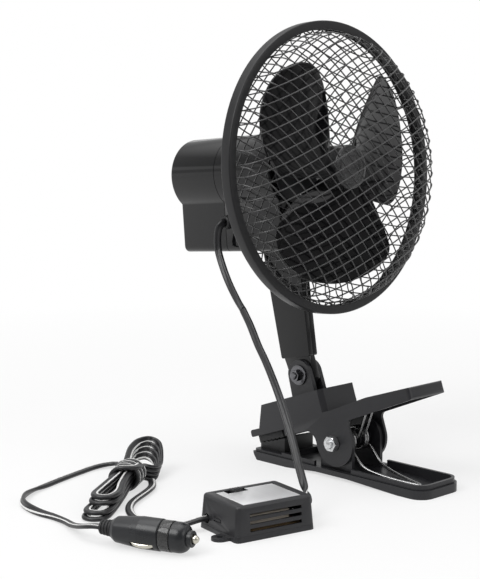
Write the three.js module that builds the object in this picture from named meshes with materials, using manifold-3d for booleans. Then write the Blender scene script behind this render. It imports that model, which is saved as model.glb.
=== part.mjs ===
// A 12 V clip fan: a wire-guarded three-blade fan on a tilting arm, carried by a sprung
// two-lever clip, with an in-line speed control and an accessory plug on its flat cord.
// Millimetres, +Z up. The fan blows towards -Y, and the clip's jaws point to +Y.
// The origin is the middle of the flat sole under the lower jaw.

import * as THREE from 'three';
import { mergeVertices } from 'three/addons/utils/BufferGeometryUtils.js';
import Module from 'manifold-3d';

const wasm = await Module();
wasm.setup();

const RAD = Math.PI / 180;

// ---------- driving dimensions ----------
const seat = 0.3;             // gap between two pieces that rest on each other
const running = 0.4;          // gap between two pieces that slide or turn on each other

// clip
const pivotHeight = 25.7;     // clip pivot above the sole
const pivotToSole = 60;       // clip pivot to the middle of the sole, along Y
const boltRadius = 3;         // M6 pivot bolt
const nutFlats = 10;
const nutThickness = 5;
const jawWall = 2.2;          // wall of both moulded levers

const lowerHalfWidth = 22.5;
const lowerHandleEnd = 84;    // pivot to the end of the lower handle
const lowerMouthEnd = 81.5;   // pivot to the lip of the lower jaw
const lowerRimInset = 1.6;    // step between the lower lever's foot band and its rim
const footBand = 6.2;         // height of that band
const lowerRim = 9.7;         // height of the rim
const archHeight = 2.4;       // the lever's middle stands this far off the table
const handleFoot = 22;        // length of the flat foot under the handle's end
const soleLength = 31;        // length of the flat sole under the jaw
const lipSlope = 0.78;        // the lip leans out this much per millimetre of height
const handleCorner = 11;
const mouthCorner = 4;
const lowerEarRadius = 15;
const lowerEarWall = 2.8;

const leverAngle = 19.5;      // closed upper lever, handle up
const upperHalfWidth = 19.3;
const upperHandleEnd = 80;
const upperMouthEnd = 80.5;
const deckTop = 23.3;         // top of the upper lever above the pivot
const skirtBottom = 13.4;     // lower edge of its side skirts above the pivot
const mouthPlate = 4.7;       // thickness of the upper lever over its pad
const throatStart = 47;       // where the mouth's plate begins
const throatArch = 28;        // where the skirt drops into the ear
const upperEarRadius = 17.3;
const blockFront = 1.2;
const blockRearLow = 72.5;
const blockRearHigh = 64.3;
const blockTop = 40;
const blockStep = 4.2;        // height of the raised band on top of the block
const blockStepInset = 1.6;
const blockChamfer = 3.3;

const padHalfWidth = 15.5;
const padStart = 53;          // inner end of both pads
const padTip = 79;            // outer end of both pads
const upperPadFace = 12.75;   // gripping face of the upper pad above the pivot, in the lever
const toothPitch = 4.3;
const toothDepth = 0.9;

const springWire = 1.9;
const coilRadius = 8.2;       // to the middle of the wire
const coilTurns = 3;
const coilPitch = 2.3;
const coilSlack = 1.3;        // coil on the boss it rides on
const coilInner = 3.4;        // first turn from the middle of the clip
const springApex = 56;        // the V of the lower leg, from the pivot
const springReach = 26;       // length of the two upper legs

// tilting arm
const tiltBack = 47;          // tilt bolt from the clip pivot, along Y
const tiltUp = 67;            // tilt bolt above the sole
const armLean = 11.5;
const tongueHalf = 2.9;       // half thickness
const tongueRadius = 12.5;
const lugRadius = 12.2;
const lugWall = 3.4;
const tiltBoltRadius = 2.5;
const tiltNutFlats = 8;
const tiltNutThickness = 4;
const washerRadius = 7.5;
const washerThickness = 1;
const armHalf = 4.4;          // half thickness of the outer arm
const armWall = 1.2;
const armStart = 13;          // outer arm's lower edge above the tilt bolt
const armLength = 98;         // tilt bolt to the arm's hidden upper end
const armFrontLow = 11;       // arm's edges at its lower end, before and behind the bolt line
const armRearLow = 18;
const armFlare = 0.045;       // widening of each edge per millimetre

// head
const headAbove = 47.6;       // guard's axis above the arm's hidden upper end
const headAhead = 58.5;       // guard's front face before the line of the arm
const headTilt = 5;
const guardRadius = 105;
const guardDepth = 8.6;
const guardFlange = 6.3;      // radial width of the ring's front face
const guardSkin = 1.6;
const wireInset = 3.4;        // ends of the wires inside the ring's outer radius
const shoulderInset = 8.5;    // and the place where their dome starts
const frontDome = 33;
const rearDome = 32;
const domePower = 3;
const wirePitch = 15;
const wireHalf = 0.8;
const meshTurn = 20.5;        // direction of one family of wires
const meshCrossing = 110;     // and from it to the other family

const hubRadius = 16;
const hubFront = -16;         // hub's nose, before the guard's front face
const hubRear = 6;
const hubWall = 2.4;
const bladeClearance = 13.2;  // blade tips to the dome's shoulder
const bladeStart = 23;        // angle of the first blade at its root
const bladeSpan = 55;         // half angle of a blade at its root
const bladeTaper = 13;        // and how much less that is at its tip
const bladeBow = 14.5;        // how far its middle line bows back, as an angle
const bladeSweep = 2.6;
const bladeMiddle = -5;       // middle line of a blade at its root, along the axis
const bladeRise = 9;          // its edges before and behind that line
const bladeTwist = 2;         // and how much more that is at the tip
const bladeCup = 8.4;         // depth of its hollow at the tip
const bladeThickness = 1.8;

const shaftRadius = 1.6;
const motorRadius = 14;
const motorNose = 6;          // housing's front wall to the motor's front
const motorLength = 40;
const bossRadius = 5;
const clampRadius = 25;
const clampThickness = 1.4;

const housingRadius = 28.5;
const housingHalf = 19;       // half width of the box under the cylinder
const housingDrop = 58.5;     // its depth under the fan's axis
const housingCorner = 5;
const housingWall = 2;
const housingSeam = 97.5;
const housingRear = 146.4;
const outletToSeam = 2;       // the cord leaves this far before the housing's seam
const outletZ = -36;
const screwRadius = 1.5;
const screwHead = 3;
const screwBite = 16;         // how deep a housing screw goes into the front part

// cord, speed control and plug
const cordRadius = 2.8;
const controlX = -177.7;      // front corner of the control from the clip pivot
const controlY = -63.3;
const controlTurn = -11.4;
const controlLength = 59.7;
const controlWidth = 45.4;
const controlHeight = 22.6;
const controlDraft = 1.6;
const controlWall = 1.8;
const controlBase = 3.4;
const ventLength = 39;
const ventHeight = 2.2;
const ventHeights = [6.9, 11.6, 16.2];
const switchTravel = 4;
const entryHeight = 9.5;      // where the fan's cord enters, above the table
const tailHeight = 7.5;       // where the loose cord enters
const tailInset = 9;          // and how far it is from the control's back
const labelRecess = 0.6;
const label = { x0: 8, x1: controlLength - 8, y0: 5, y1: controlWidth - 17 };
const knob = { x: 22, y: controlWidth - 10, half: 3.4, depth: 2.6 };

const plugX = -209.8;         // the plug's tip from the clip pivot
const plugY = -63.6;
const plugTurn = 22;
const plugRadius = 10;
const plugRoll = -37;         // the plug lies with one side contact low on the near side
const plugTailRadius = 8.2;
const plugBodyLength = 34;
const pinRadius = 2.6;
const pinOut = 3.5;
const pinTravel = 2.5;
const capRadius = 9.5;
const capShoulder = 6;        // length of the cap's rounded shoulder
const capLength = 13;
const noseRadius = 5.2;       // the short nose that guides the pin
const noseLength = 3;
const ringLength = 7.5;
const ringInset = 0.3;        // the clear ring's surface under the body's
const reliefLength = 9;
const pocketLength = 16;      // pockets of the side contacts
const pocketHalf = 2;
const pocketDepth = 3.2;
const contactTravel = 1.2;

// the tied hank of cord: the middles of its two round ends, from the clip pivot
const hank = { x0: -200, y0: 48, x1: -102, y1: 113, radius: 14, height: 20 };

// ---------- materials ----------
const paint = (name, color, roughness, metalness) =>
  new THREE.MeshStandardMaterial({ name, color, roughness, metalness });
const glossBlack = paint('gloss_black_abs', 0x161618, 0.28, 0);
const satinBlack = paint('satin_black_moulding', 0x26272a, 0.45, 0);
const blackWire = paint('black_coated_wire', 0x1c1c1e, 0.35, 0.4);
const steel = paint('zinc_plated_steel', 0xc9ccd0, 0.3, 1);
const blackSteel = paint('blackened_steel', 0x1d1d20, 0.3, 0.8);
const rubber = paint('black_rubber', 0x202123, 0.8, 0);
const clearPlastic = paint('clear_plastic', 0xb9b4a4, 0.15, 0);
const ceramic = paint('resistor_ceramic', 0x9a8f80, 0.8, 0);
const boardGreen = paint('circuit_board', 0x6b5a3c, 0.6, 0);
const cordBlack = paint('cord_vinyl', 0x18181a, 0.4, 0);

// ---------- solids ----------
function welded(geometry) {
  const bare = geometry.clone();
  bare.deleteAttribute('normal');
  bare.deleteAttribute('uv');
  const merged = mergeVertices(bare, 1e-4);
  const index = [];
  const all = merged.index.array;
  for (let i = 0; i < all.length; i += 3) {
    const [a, b, c] = [all[i], all[i + 1], all[i + 2]];
    if (a !== b && b !== c && c !== a) index.push(a, b, c);
  }
  merged.setIndex(index);
  return merged;
}

function signedVolume(geometry) {
  const p = geometry.attributes.position;
  const index = geometry.index.array;
  const [a, b, c] = [new THREE.Vector3(), new THREE.Vector3(), new THREE.Vector3()];
  let sum = 0;
  for (let i = 0; i < index.length; i += 3) {
    a.fromBufferAttribute(p, index[i]);
    b.fromBufferAttribute(p, index[i + 1]);
    c.fromBufferAttribute(p, index[i + 2]);
    sum += a.dot(b.cross(c)) / 6;
  }
  return sum;
}

function facingOut(geometry) {
  const out = geometry.index ? geometry : mergeVertices(geometry);
  if (signedVolume(out) >= 0) return out;
  const index = out.index.array;
  for (let i = 0; i < index.length; i += 3) [index[i + 1], index[i + 2]] = [index[i + 2], index[i + 1]];
  return out;
}

function solidOf(geometry) {
  const closed = facingOut(welded(geometry));
  return new wasm.Manifold(new wasm.Mesh({
    numProp: 3,
    vertProperties: new Float32Array(closed.attributes.position.array),
    triVerts: new Uint32Array(closed.index.array),
  }));
}

function geometryOf(solid) {
  const mesh = solid.getMesh();
  const geometry = new THREE.BufferGeometry();
  geometry.setAttribute('position', new THREE.BufferAttribute(new Float32Array(mesh.vertProperties), 3));
  geometry.setIndex(new THREE.BufferAttribute(new Uint32Array(mesh.triVerts), 1));
  geometry.computeVertexNormals();
  return geometry;
}

const join = (first, ...others) => others.reduce((sum, one) => sum.add(one), first);
const cut = (first, ...others) => others.reduce((rest, one) => rest.subtract(one), first);

function shapeOf(points) {
  return new THREE.Shape(points.map(([x, y]) => new THREE.Vector2(x, y)));
}

// a shape drawn in (y, z), extruded along X from one place to another
function alongX(shape, from, to, curveSegments = 10) {
  const geometry = new THREE.ExtrudeGeometry(shape, { depth: to - from, bevelEnabled: false, curveSegments });
  const turn = new THREE.Matrix4().makeBasis(
    new THREE.Vector3(0, 1, 0), new THREE.Vector3(0, 0, 1), new THREE.Vector3(1, 0, 0));
  return geometry.applyMatrix4(turn).translate(from, 0, 0);
}

// a shape drawn in (x, z), extruded along Y
function alongY(shape, from, to, curveSegments = 10) {
  const geometry = new THREE.ExtrudeGeometry(shape, { depth: to - from, bevelEnabled: false, curveSegments });
  return geometry.rotateX(Math.PI / 2).translate(0, to, 0);
}

// a shape drawn in (x, y), extruded up
function alongZ(shape, from, to, curveSegments = 10) {
  const geometry = new THREE.ExtrudeGeometry(shape, { depth: to - from, bevelEnabled: false, curveSegments });
  return geometry.translate(0, 0, from);
}

function block(x0, x1, y0, y1, z0, z1) {
  const geometry = new THREE.BoxGeometry(x1 - x0, y1 - y0, z1 - z0);
  return geometry.translate((x0 + x1) / 2, (y0 + y1) / 2, (z0 + z1) / 2);
}

function rodX(radius, from, to, y = 0, z = 0, sides = 24) {
  const geometry = new THREE.CylinderGeometry(radius, radius, to - from, sides);
  return geometry.rotateZ(Math.PI / 2).translate((from + to) / 2, y, z);
}

function rodY(radius, from, to, x = 0, z = 0, sides = 24) {
  return new THREE.CylinderGeometry(radius, radius, to - from, sides).translate(x, (from + to) / 2, z);
}

function rodZ(radius, from, to, x = 0, y = 0, sides = 24) {
  const geometry = new THREE.CylinderGeometry(radius, radius, to - from, sides);
  return geometry.rotateX(Math.PI / 2).translate(x, y, (from + to) / 2);
}

// a turned piece on the Y axis, from its outline as [radius, y] pairs
function turned(outline, segments = 48) {
  const points = outline.map(([r, y]) => new THREE.Vector2(r, y));
  return facingOut(welded(new THREE.LatheGeometry(points, segments)));
}

function closedLoop(outline) {
  return [...outline, outline[0]];
}

function roundedRectangle(x0, x1, y0, y1, r) {
  const shape = new THREE.Shape();
  shape.moveTo(x0 + r, y0);
  shape.lineTo(x1 - r, y0).absarc(x1 - r, y0 + r, r, -Math.PI / 2, 0);
  shape.lineTo(x1, y1 - r).absarc(x1 - r, y1 - r, r, 0, Math.PI / 2);
  shape.lineTo(x0 + r, y1).absarc(x0 + r, y1 - r, r, Math.PI / 2, Math.PI);
  shape.lineTo(x0, y0 + r).absarc(x0 + r, y0 + r, r, Math.PI, Math.PI * 1.5);
  return shape;
}

function tube(points, radius, sides, steps) {
  const path = new THREE.CatmullRomCurve3(points.map(([x, y, z]) => new THREE.Vector3(x, y, z)), false, 'centripetal');
  const ring = shapeOf(Array.from({ length: sides }, (_, i) => {
    const angle = (i + 0.5) * 2 * Math.PI / sides;
    return [radius * Math.cos(angle), radius * Math.sin(angle)];
  }));
  return new THREE.ExtrudeGeometry(ring, { steps, extrudePath: path, bevelEnabled: false });
}

// a hexagon prism along X with a round hole
function hexNutX(flats, hole, from, to) {
  const hexagon = rodX(flats / Math.sqrt(3), from, to, 0, 0, 6);
  return geometryOf(cut(solidOf(hexagon), solidOf(rodX(hole, from - 1, to + 1, 0, 0, 16))));
}

// ---------- assembly ----------
const fan = new THREE.Group();
fan.position.y = -pivotToSole;

const lever = new THREE.Group();          // upper lever: y to the mouth, z up from its pivot
lever.position.z = pivotHeight;
lever.rotation.x = -leverAngle * RAD;
const arm = new THREE.Group();            // arm: z along it from the tilt bolt
arm.position.set(0, tiltBack, tiltUp);
arm.rotation.x = -armLean * RAD;
const head = new THREE.Group();           // head: y along the fan's axis, to the rear
const [leanSin, leanCos] = [Math.sin(armLean * RAD), Math.cos(armLean * RAD)];
const headY = tiltBack - headAhead * leanCos + (armLength + headAbove) * leanSin;
const headZ = tiltUp + headAhead * leanSin + (armLength + headAbove) * leanCos;
head.position.set(0, headY, headZ);
head.rotation.x = -headTilt * RAD;
const control = new THREE.Group();        // control: x along its long side
control.position.set(controlX, controlY, 0);
control.rotation.z = controlTurn * RAD;
const plug = new THREE.Group();           // plug: y from its tip to its tail
plug.position.set(plugX, plugY, plugRadius);
plug.rotation.set(0, plugRoll * RAD, plugTurn * RAD, 'ZYX');
fan.add(lever, arm, head, control, plug);

function add(group, name, geometry, material) {
  const mesh = new THREE.Mesh(geometry, material);
  mesh.name = name;
  group.add(mesh);
}

// ---------- lower lever: an open tray with a jaw at one end and a handle at the other ----------
function lowerPlan(inset) {
  const x = lowerHalfWidth - inset;
  const y0 = -lowerHandleEnd + inset;
  const y1 = lowerMouthEnd - inset;
  const [a, b] = [handleCorner - inset, mouthCorner - inset / 2];
  const shape = new THREE.Shape();
  shape.moveTo(-x + a, y0);
  shape.lineTo(x - a, y0).absarc(x - a, y0 + a, a, -Math.PI / 2, 0);
  shape.lineTo(x, y1 - b).absarc(x - b, y1 - b, b, 0, Math.PI / 2);
  shape.lineTo(-x + b, y1).absarc(-x + b, y1 - b, b, Math.PI / 2, Math.PI);
  shape.lineTo(-x, y0 + a).absarc(-x + a, y0 + a, a, Math.PI, Math.PI * 1.5);
  return shape;
}

const soleStart = pivotToSole - soleLength / 2;
const soleEnd = pivotToSole + soleLength / 2;

// the underside stands on a foot at each end and arches between them
function underside(lift) {
  return [
    [-lowerHandleEnd - 1, lift], [-lowerHandleEnd + handleFoot, lift],
    [-lowerEarRadius, archHeight + lift], [lowerEarRadius, archHeight + lift],
    [soleStart, lift], [soleEnd - lift, lift],
  ];
}

function trayFloor(y) {
  const share = (y + lowerHandleEnd - handleFoot) / (lowerHandleEnd - handleFoot - lowerEarRadius);
  return jawWall + archHeight * Math.min(Math.max(share, 0), 1);
}

function lowerSide(top) {
  return shapeOf([...underside(0), [soleEnd + lipSlope * top, top], [-lowerHandleEnd - 1, top]]);
}

function lowerEar(x0, x1) {
  const ear = new THREE.Shape();
  const r = lowerEarRadius;
  ear.moveTo(r, archHeight + 1);
  ear.lineTo(r, pivotHeight).absarc(0, pivotHeight, r, 0, Math.PI);
  ear.lineTo(-r, archHeight + 1);
  return solidOf(alongX(ear, x0, x1));
}

const earOuter = upperHalfWidth - jawWall - running;    // the lower ears run inside the upper ones
const jawDeck = 8;                                      // top of the closed jaw under the lower pad

function makeLowerJaw() {
  const wide = lowerHalfWidth + 1;
  const band = solidOf(alongX(lowerSide(footBand), -wide, wide))
    .intersect(solidOf(alongZ(lowerPlan(0), -1, footBand + 1, 6)));
  const rim = solidOf(alongX(lowerSide(lowerRim), -wide, wide))
    .intersect(solidOf(alongZ(lowerPlan(lowerRimInset), -1, lowerRim + 1, 6)));
  const hollow = solidOf(alongZ(lowerPlan(lowerRimInset + jawWall), -1, lowerRim + 2, 6))
    .intersect(solidOf(alongX(shapeOf([
      ...underside(jawWall).slice(0, 4), [padStart - jawWall, archHeight / 2 + jawWall],
      [padStart - jawWall, lowerRim + 2], [-lowerHandleEnd - 1, lowerRim + 2],
    ]), -wide, wide)));
  const jawTop = solidOf(block(-wide, wide, padStart - jawWall, lowerMouthEnd + 2, jawDeck, lowerRim + 2));
  const sweep = upperEarRadius + running;
  const earRoom = [-1, 1].map(side => {
    const [x0, x1] = [side * earOuter, side * wide];
    return solidOf(block(Math.min(x0, x1), Math.max(x0, x1), -sweep, sweep, footBand, lowerRim + 2));
  });
  const ears = [-1, 1].map(side => {
    const [x0, x1] = [side * earOuter, side * (earOuter - lowerEarWall)];
    return lowerEar(Math.min(x0, x1), Math.max(x0, x1));
  });
  const bossRadius = coilRadius - springWire / 2 - coilSlack;
  const bossStart = coilInner - springWire / 2;
  const bosses = [[bossStart, earOuter - 1], [1 - earOuter, -bossStart]]
    .map(([x0, x1]) => solidOf(rodX(bossRadius, x0, x1, 0, pivotHeight, 24)));
  const bore = solidOf(rodX(boltRadius + seat, -wide, wide, 0, pivotHeight, 20));
  return geometryOf(cut(join(cut(join(band, rim), hollow, jawTop, ...earRoom), ...ears, ...bosses), bore));
}
add(fan, 'lower_jaw', makeLowerJaw(), satinBlack);

// ---------- gripping pads, with teeth across the jaw ----------
function padProfile(start, end, back, face, toward) {
  const points = [[start, back], [end, back], [end, face]];
  for (let y = end - toothPitch; y > start + toothPitch; y -= toothPitch) {
    points.push([y + 1, face], [y, face - toward * toothDepth], [y - 1, face]);
  }
  points.push([start, face]);
  return shapeOf(points);
}

const leverSin = Math.sin(leverAngle * RAD);
const leverCos = Math.cos(leverAngle * RAD);
const upperPadTipHeight = pivotHeight - padTip * leverSin + upperPadFace * leverCos;
const lowerPadFace = upperPadTipHeight - seat;

add(fan, 'lower_pad', alongX(
  padProfile(padStart, padTip - 1, jawDeck + seat, lowerPadFace, 1), -padHalfWidth, padHalfWidth), rubber);

// ---------- upper lever: an inverted channel with ears, a hollow block and two lugs ----------
function upperSide() {
  const side = new THREE.Shape();
  side.moveTo(-upperHandleEnd, deckTop);
  side.lineTo(-upperHandleEnd, skirtBottom);
  side.lineTo(-upperEarRadius - 4, skirtBottom);
  side.quadraticCurveTo(-upperEarRadius, skirtBottom, -upperEarRadius, skirtBottom - 5);
  side.lineTo(-upperEarRadius, 0);
  side.absarc(0, 0, upperEarRadius, Math.PI, 2 * Math.PI);
  side.lineTo(upperEarRadius, 4);
  side.quadraticCurveTo(throatArch - 8, skirtBottom, throatArch, skirtBottom);
  side.lineTo(throatStart, skirtBottom);
  side.lineTo(throatStart, deckTop - mouthPlate);
  side.lineTo(upperMouthEnd, deckTop - mouthPlate);
  side.lineTo(upperMouthEnd, deckTop);
  return side;
}

function blockOutline(inset, top) {
  return shapeOf([
    [blockFront + inset, deckTop - jawWall], [blockRearLow - inset, deckTop - jawWall],
    [blockRearLow - inset, deckTop], [blockRearHigh - inset, top], [blockFront + inset, top],
  ]);
}

function blockPlan(inset) {
  const x = upperHalfWidth - inset;
  const c = blockChamfer;
  return shapeOf([
    [-x, blockRearLow + 1], [-x, blockFront + inset + c], [-x + c, blockFront + inset],
    [x - c, blockFront + inset], [x, blockFront + inset + c], [x, blockRearLow + 1],
  ]);
}

// tilt bolt seen from the lever's own frame
const boltV = tiltBack * leverCos - (tiltUp - pivotHeight) * leverSin;
const boltW = tiltBack * leverSin + (tiltUp - pivotHeight) * leverCos;

function lug(side) {
  const inner = tongueHalf + running;
  const [x0, x1] = side > 0 ? [inner, inner + lugWall] : [-inner - lugWall, -inner];
  const shape = new THREE.Shape();
  const spread = lugRadius + 4;
  shape.moveTo(boltV - spread, blockTop - 1);
  shape.lineTo(boltV + spread, blockTop - 1);
  shape.lineTo(boltV + lugRadius, boltW);
  shape.absarc(boltV, boltW, lugRadius, 0, Math.PI);
  return solidOf(alongX(shape, x0, x1));
}

function makeUpperJaw() {
  const inner = upperHalfWidth - jawWall;
  const wide = upperHalfWidth + 1;
  const shell = solidOf(alongX(upperSide(), -upperHalfWidth, upperHalfWidth));
  const channel = solidOf(block(
    -inner, inner, -upperHandleEnd + jawWall, throatStart - jawWall, -upperEarRadius - 1, deckTop - jawWall));
  const low = solidOf(alongX(blockOutline(0, blockTop - blockStep), -wide, wide))
    .intersect(solidOf(alongZ(blockPlan(0), 0, blockTop)));
  const high = solidOf(alongX(blockOutline(blockStepInset, blockTop), -wide, wide))
    .intersect(solidOf(alongZ(blockPlan(blockStepInset), 0, blockTop + 1)));
  const room = solidOf(alongX(shapeOf([
    [blockFront + 2 * jawWall, deckTop - jawWall - 1], [throatStart - jawWall, deckTop - jawWall - 1],
    [throatStart - jawWall, blockTop - jawWall], [blockFront + 2 * jawWall, blockTop - jawWall],
  ]), -inner + blockStepInset, inner - blockStepInset));
  const pivotBore = solidOf(rodX(boltRadius + seat, -wide, wide, 0, 0, 20));
  const tiltBore = solidOf(rodX(tiltBoltRadius + seat, -wide, wide, boltV, boltW, 20));
  return geometryOf(cut(join(cut(join(shell, low, high), channel, room), lug(1), lug(-1)), pivotBore, tiltBore));
}
add(lever, 'upper_jaw', makeUpperJaw(), satinBlack);
add(lever, 'upper_pad', alongX(
  padProfile(padStart, padTip, deckTop - mouthPlate - seat, upperPadFace, -1), -padHalfWidth, padHalfWidth), rubber);

// ---------- clip pivot: bolt, nut and double torsion spring ----------
function headedBolt(radius, flats, headThickness, from, to) {
  const shank = solidOf(rodX(radius, from, to, 0, 0, 20));
  const hexagon = solidOf(rodX(flats / Math.sqrt(3), to - 0.01, to + headThickness, 0, 0, 6));
  return geometryOf(join(shank, hexagon));
}

const pivot = new THREE.Group();
pivot.position.z = pivotHeight;
fan.add(pivot);
const pivotFace = upperHalfWidth + seat;
add(pivot, 'pivot_bolt', headedBolt(boltRadius, nutFlats, 4, -pivotFace - nutThickness - 1.5, pivotFace), steel);
add(pivot, 'pivot_nut', hexNutX(nutFlats, boltRadius + seat, -pivotFace - nutThickness, -pivotFace), steel);

// one wire: upper leg, coil, V in the tray, coil, upper leg
function springPath() {
  const points = [];
  const stepsPerTurn = 12;
  const legDown = 210 * RAD;             // a coil leaves for the tray here
  const legUp = 162 * RAD;               // and for the handle here
  const sweep = legDown - legUp - coilTurns * 2 * Math.PI;
  const outer = coilInner + coilTurns * coilPitch;
  const onCoil = (side, t) => {
    const angle = legUp + t * sweep;
    const x = side * (outer - t * (outer - coilInner));
    return [x, coilRadius * Math.cos(angle), coilRadius * Math.sin(angle)];
  };
  const w = deckTop - jawWall - seat - springWire / 2;
  const upperEnd = side => [side * outer, w * leverSin - springReach * leverCos, w * leverCos + springReach * leverSin];
  const count = stepsPerTurn * coilTurns;
  const coil = side => Array.from({ length: count + 1 }, (_, i) => onCoil(side, i / count));
  const tray = trayFloor(-springApex) + seat + springWire / 2 - pivotHeight;
  const half = side => [side * coilInner * 0.9, -springApex * 0.55, tray * 0.66];
  const turnIn = side => [side * 2, -springApex + 2, tray + 1];
  points.push(upperEnd(-1), ...coil(-1), half(-1), turnIn(-1), [0, -springApex, tray + 0.4]);
  points.push(turnIn(1), half(1), ...coil(1).reverse(), upperEnd(1));
  return points;
}
add(pivot, 'clip_spring', tube(springPath(), springWire / 2, 6, 96), steel);

// ---------- tilting arm: a tongue between the lugs, in a hollow outer arm ----------
const armEdge = (edge, z) => edge + armFlare * (z - armStart);

function armOutline(inset, z0, z1) {
  return shapeOf([
    [-armEdge(armFrontLow, z0) + inset, z0], [armEdge(armRearLow, z0) - inset, z0],
    [armEdge(armRearLow, z1) - inset, z1], [-armEdge(armFrontLow, z1) + inset, z1],
  ]);
}

function makeOuterArm() {
  const skin = solidOf(alongX(armOutline(0, armStart, armLength), -armHalf, armHalf));
  const room = solidOf(alongX(armOutline(armWall, armStart - 1, armLength - armWall), -armHalf + armWall, armHalf - armWall));
  return geometryOf(cut(skin, room));
}

function makeTongue() {
  const top = armLength * 0.6;
  const inset = armWall + seat;
  const shape = new THREE.Shape();
  shape.absarc(0, 0, tongueRadius, Math.PI * 1.06, Math.PI * 1.94);
  shape.lineTo(armEdge(armRearLow, armStart) - inset, armStart);
  shape.lineTo(armEdge(armRearLow, top) - inset, top);
  shape.lineTo(-armEdge(armFrontLow, top) + inset, top);
  shape.lineTo(-armEdge(armFrontLow, armStart) + inset, armStart);
  const tongue = solidOf(alongX(shape, -tongueHalf, tongueHalf));
  return geometryOf(cut(tongue, solidOf(rodX(tiltBoltRadius + seat, -tongueHalf - 1, tongueHalf + 1, 0, 0, 16))));
}

const lugFace = tongueHalf + running + lugWall;
const nutFace = lugFace + seat + washerThickness + seat;
add(arm, 'outer_arm', makeOuterArm(), glossBlack);
add(arm, 'arm_tongue', makeTongue(), glossBlack);
add(arm, 'tilt_bolt', headedBolt(
  tiltBoltRadius, tiltNutFlats, 3.5, -nutFace - tiltNutThickness - 1.2, nutFace), blackSteel);
add(arm, 'tilt_nut', hexNutX(tiltNutFlats, tiltBoltRadius + seat, -nutFace - tiltNutThickness, -nutFace), blackSteel);
for (const [name, x] of [['tilt_washer_nut', -lugFace - seat - washerThickness], ['tilt_washer_head', lugFace + seat]]) {
  const disc = solidOf(rodX(washerRadius, x, x + washerThickness, 0, 0, 24));
  const hole = solidOf(rodX(tiltBoltRadius + seat, x - 1, x + washerThickness + 1, 0, 0, 16));
  add(arm, name, geometryOf(cut(disc, hole)), blackSteel);
}

// ---------- guard: a U-section ring that holds the edges of two domed wire grilles ----------
const grilleEdge = guardRadius - wireInset;
const grilleShoulder = guardRadius - shoulderInset;

function makeGuardRing() {
  const inner = guardRadius - guardFlange;
  const wall = guardRadius - guardSkin;
  const chamfer = 0.8;
  return turned(closedLoop([
    [inner, 0], [guardRadius - chamfer, 0], [guardRadius, chamfer],
    [guardRadius, guardDepth - chamfer], [guardRadius - chamfer, guardDepth], [inner, guardDepth],
    [inner, guardDepth - guardSkin], [wall, guardDepth - guardSkin], [wall, guardSkin], [inner, guardSkin],
  ]), 60);
}
add(head, 'guard_ring', makeGuardRing(), satinBlack);

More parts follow.
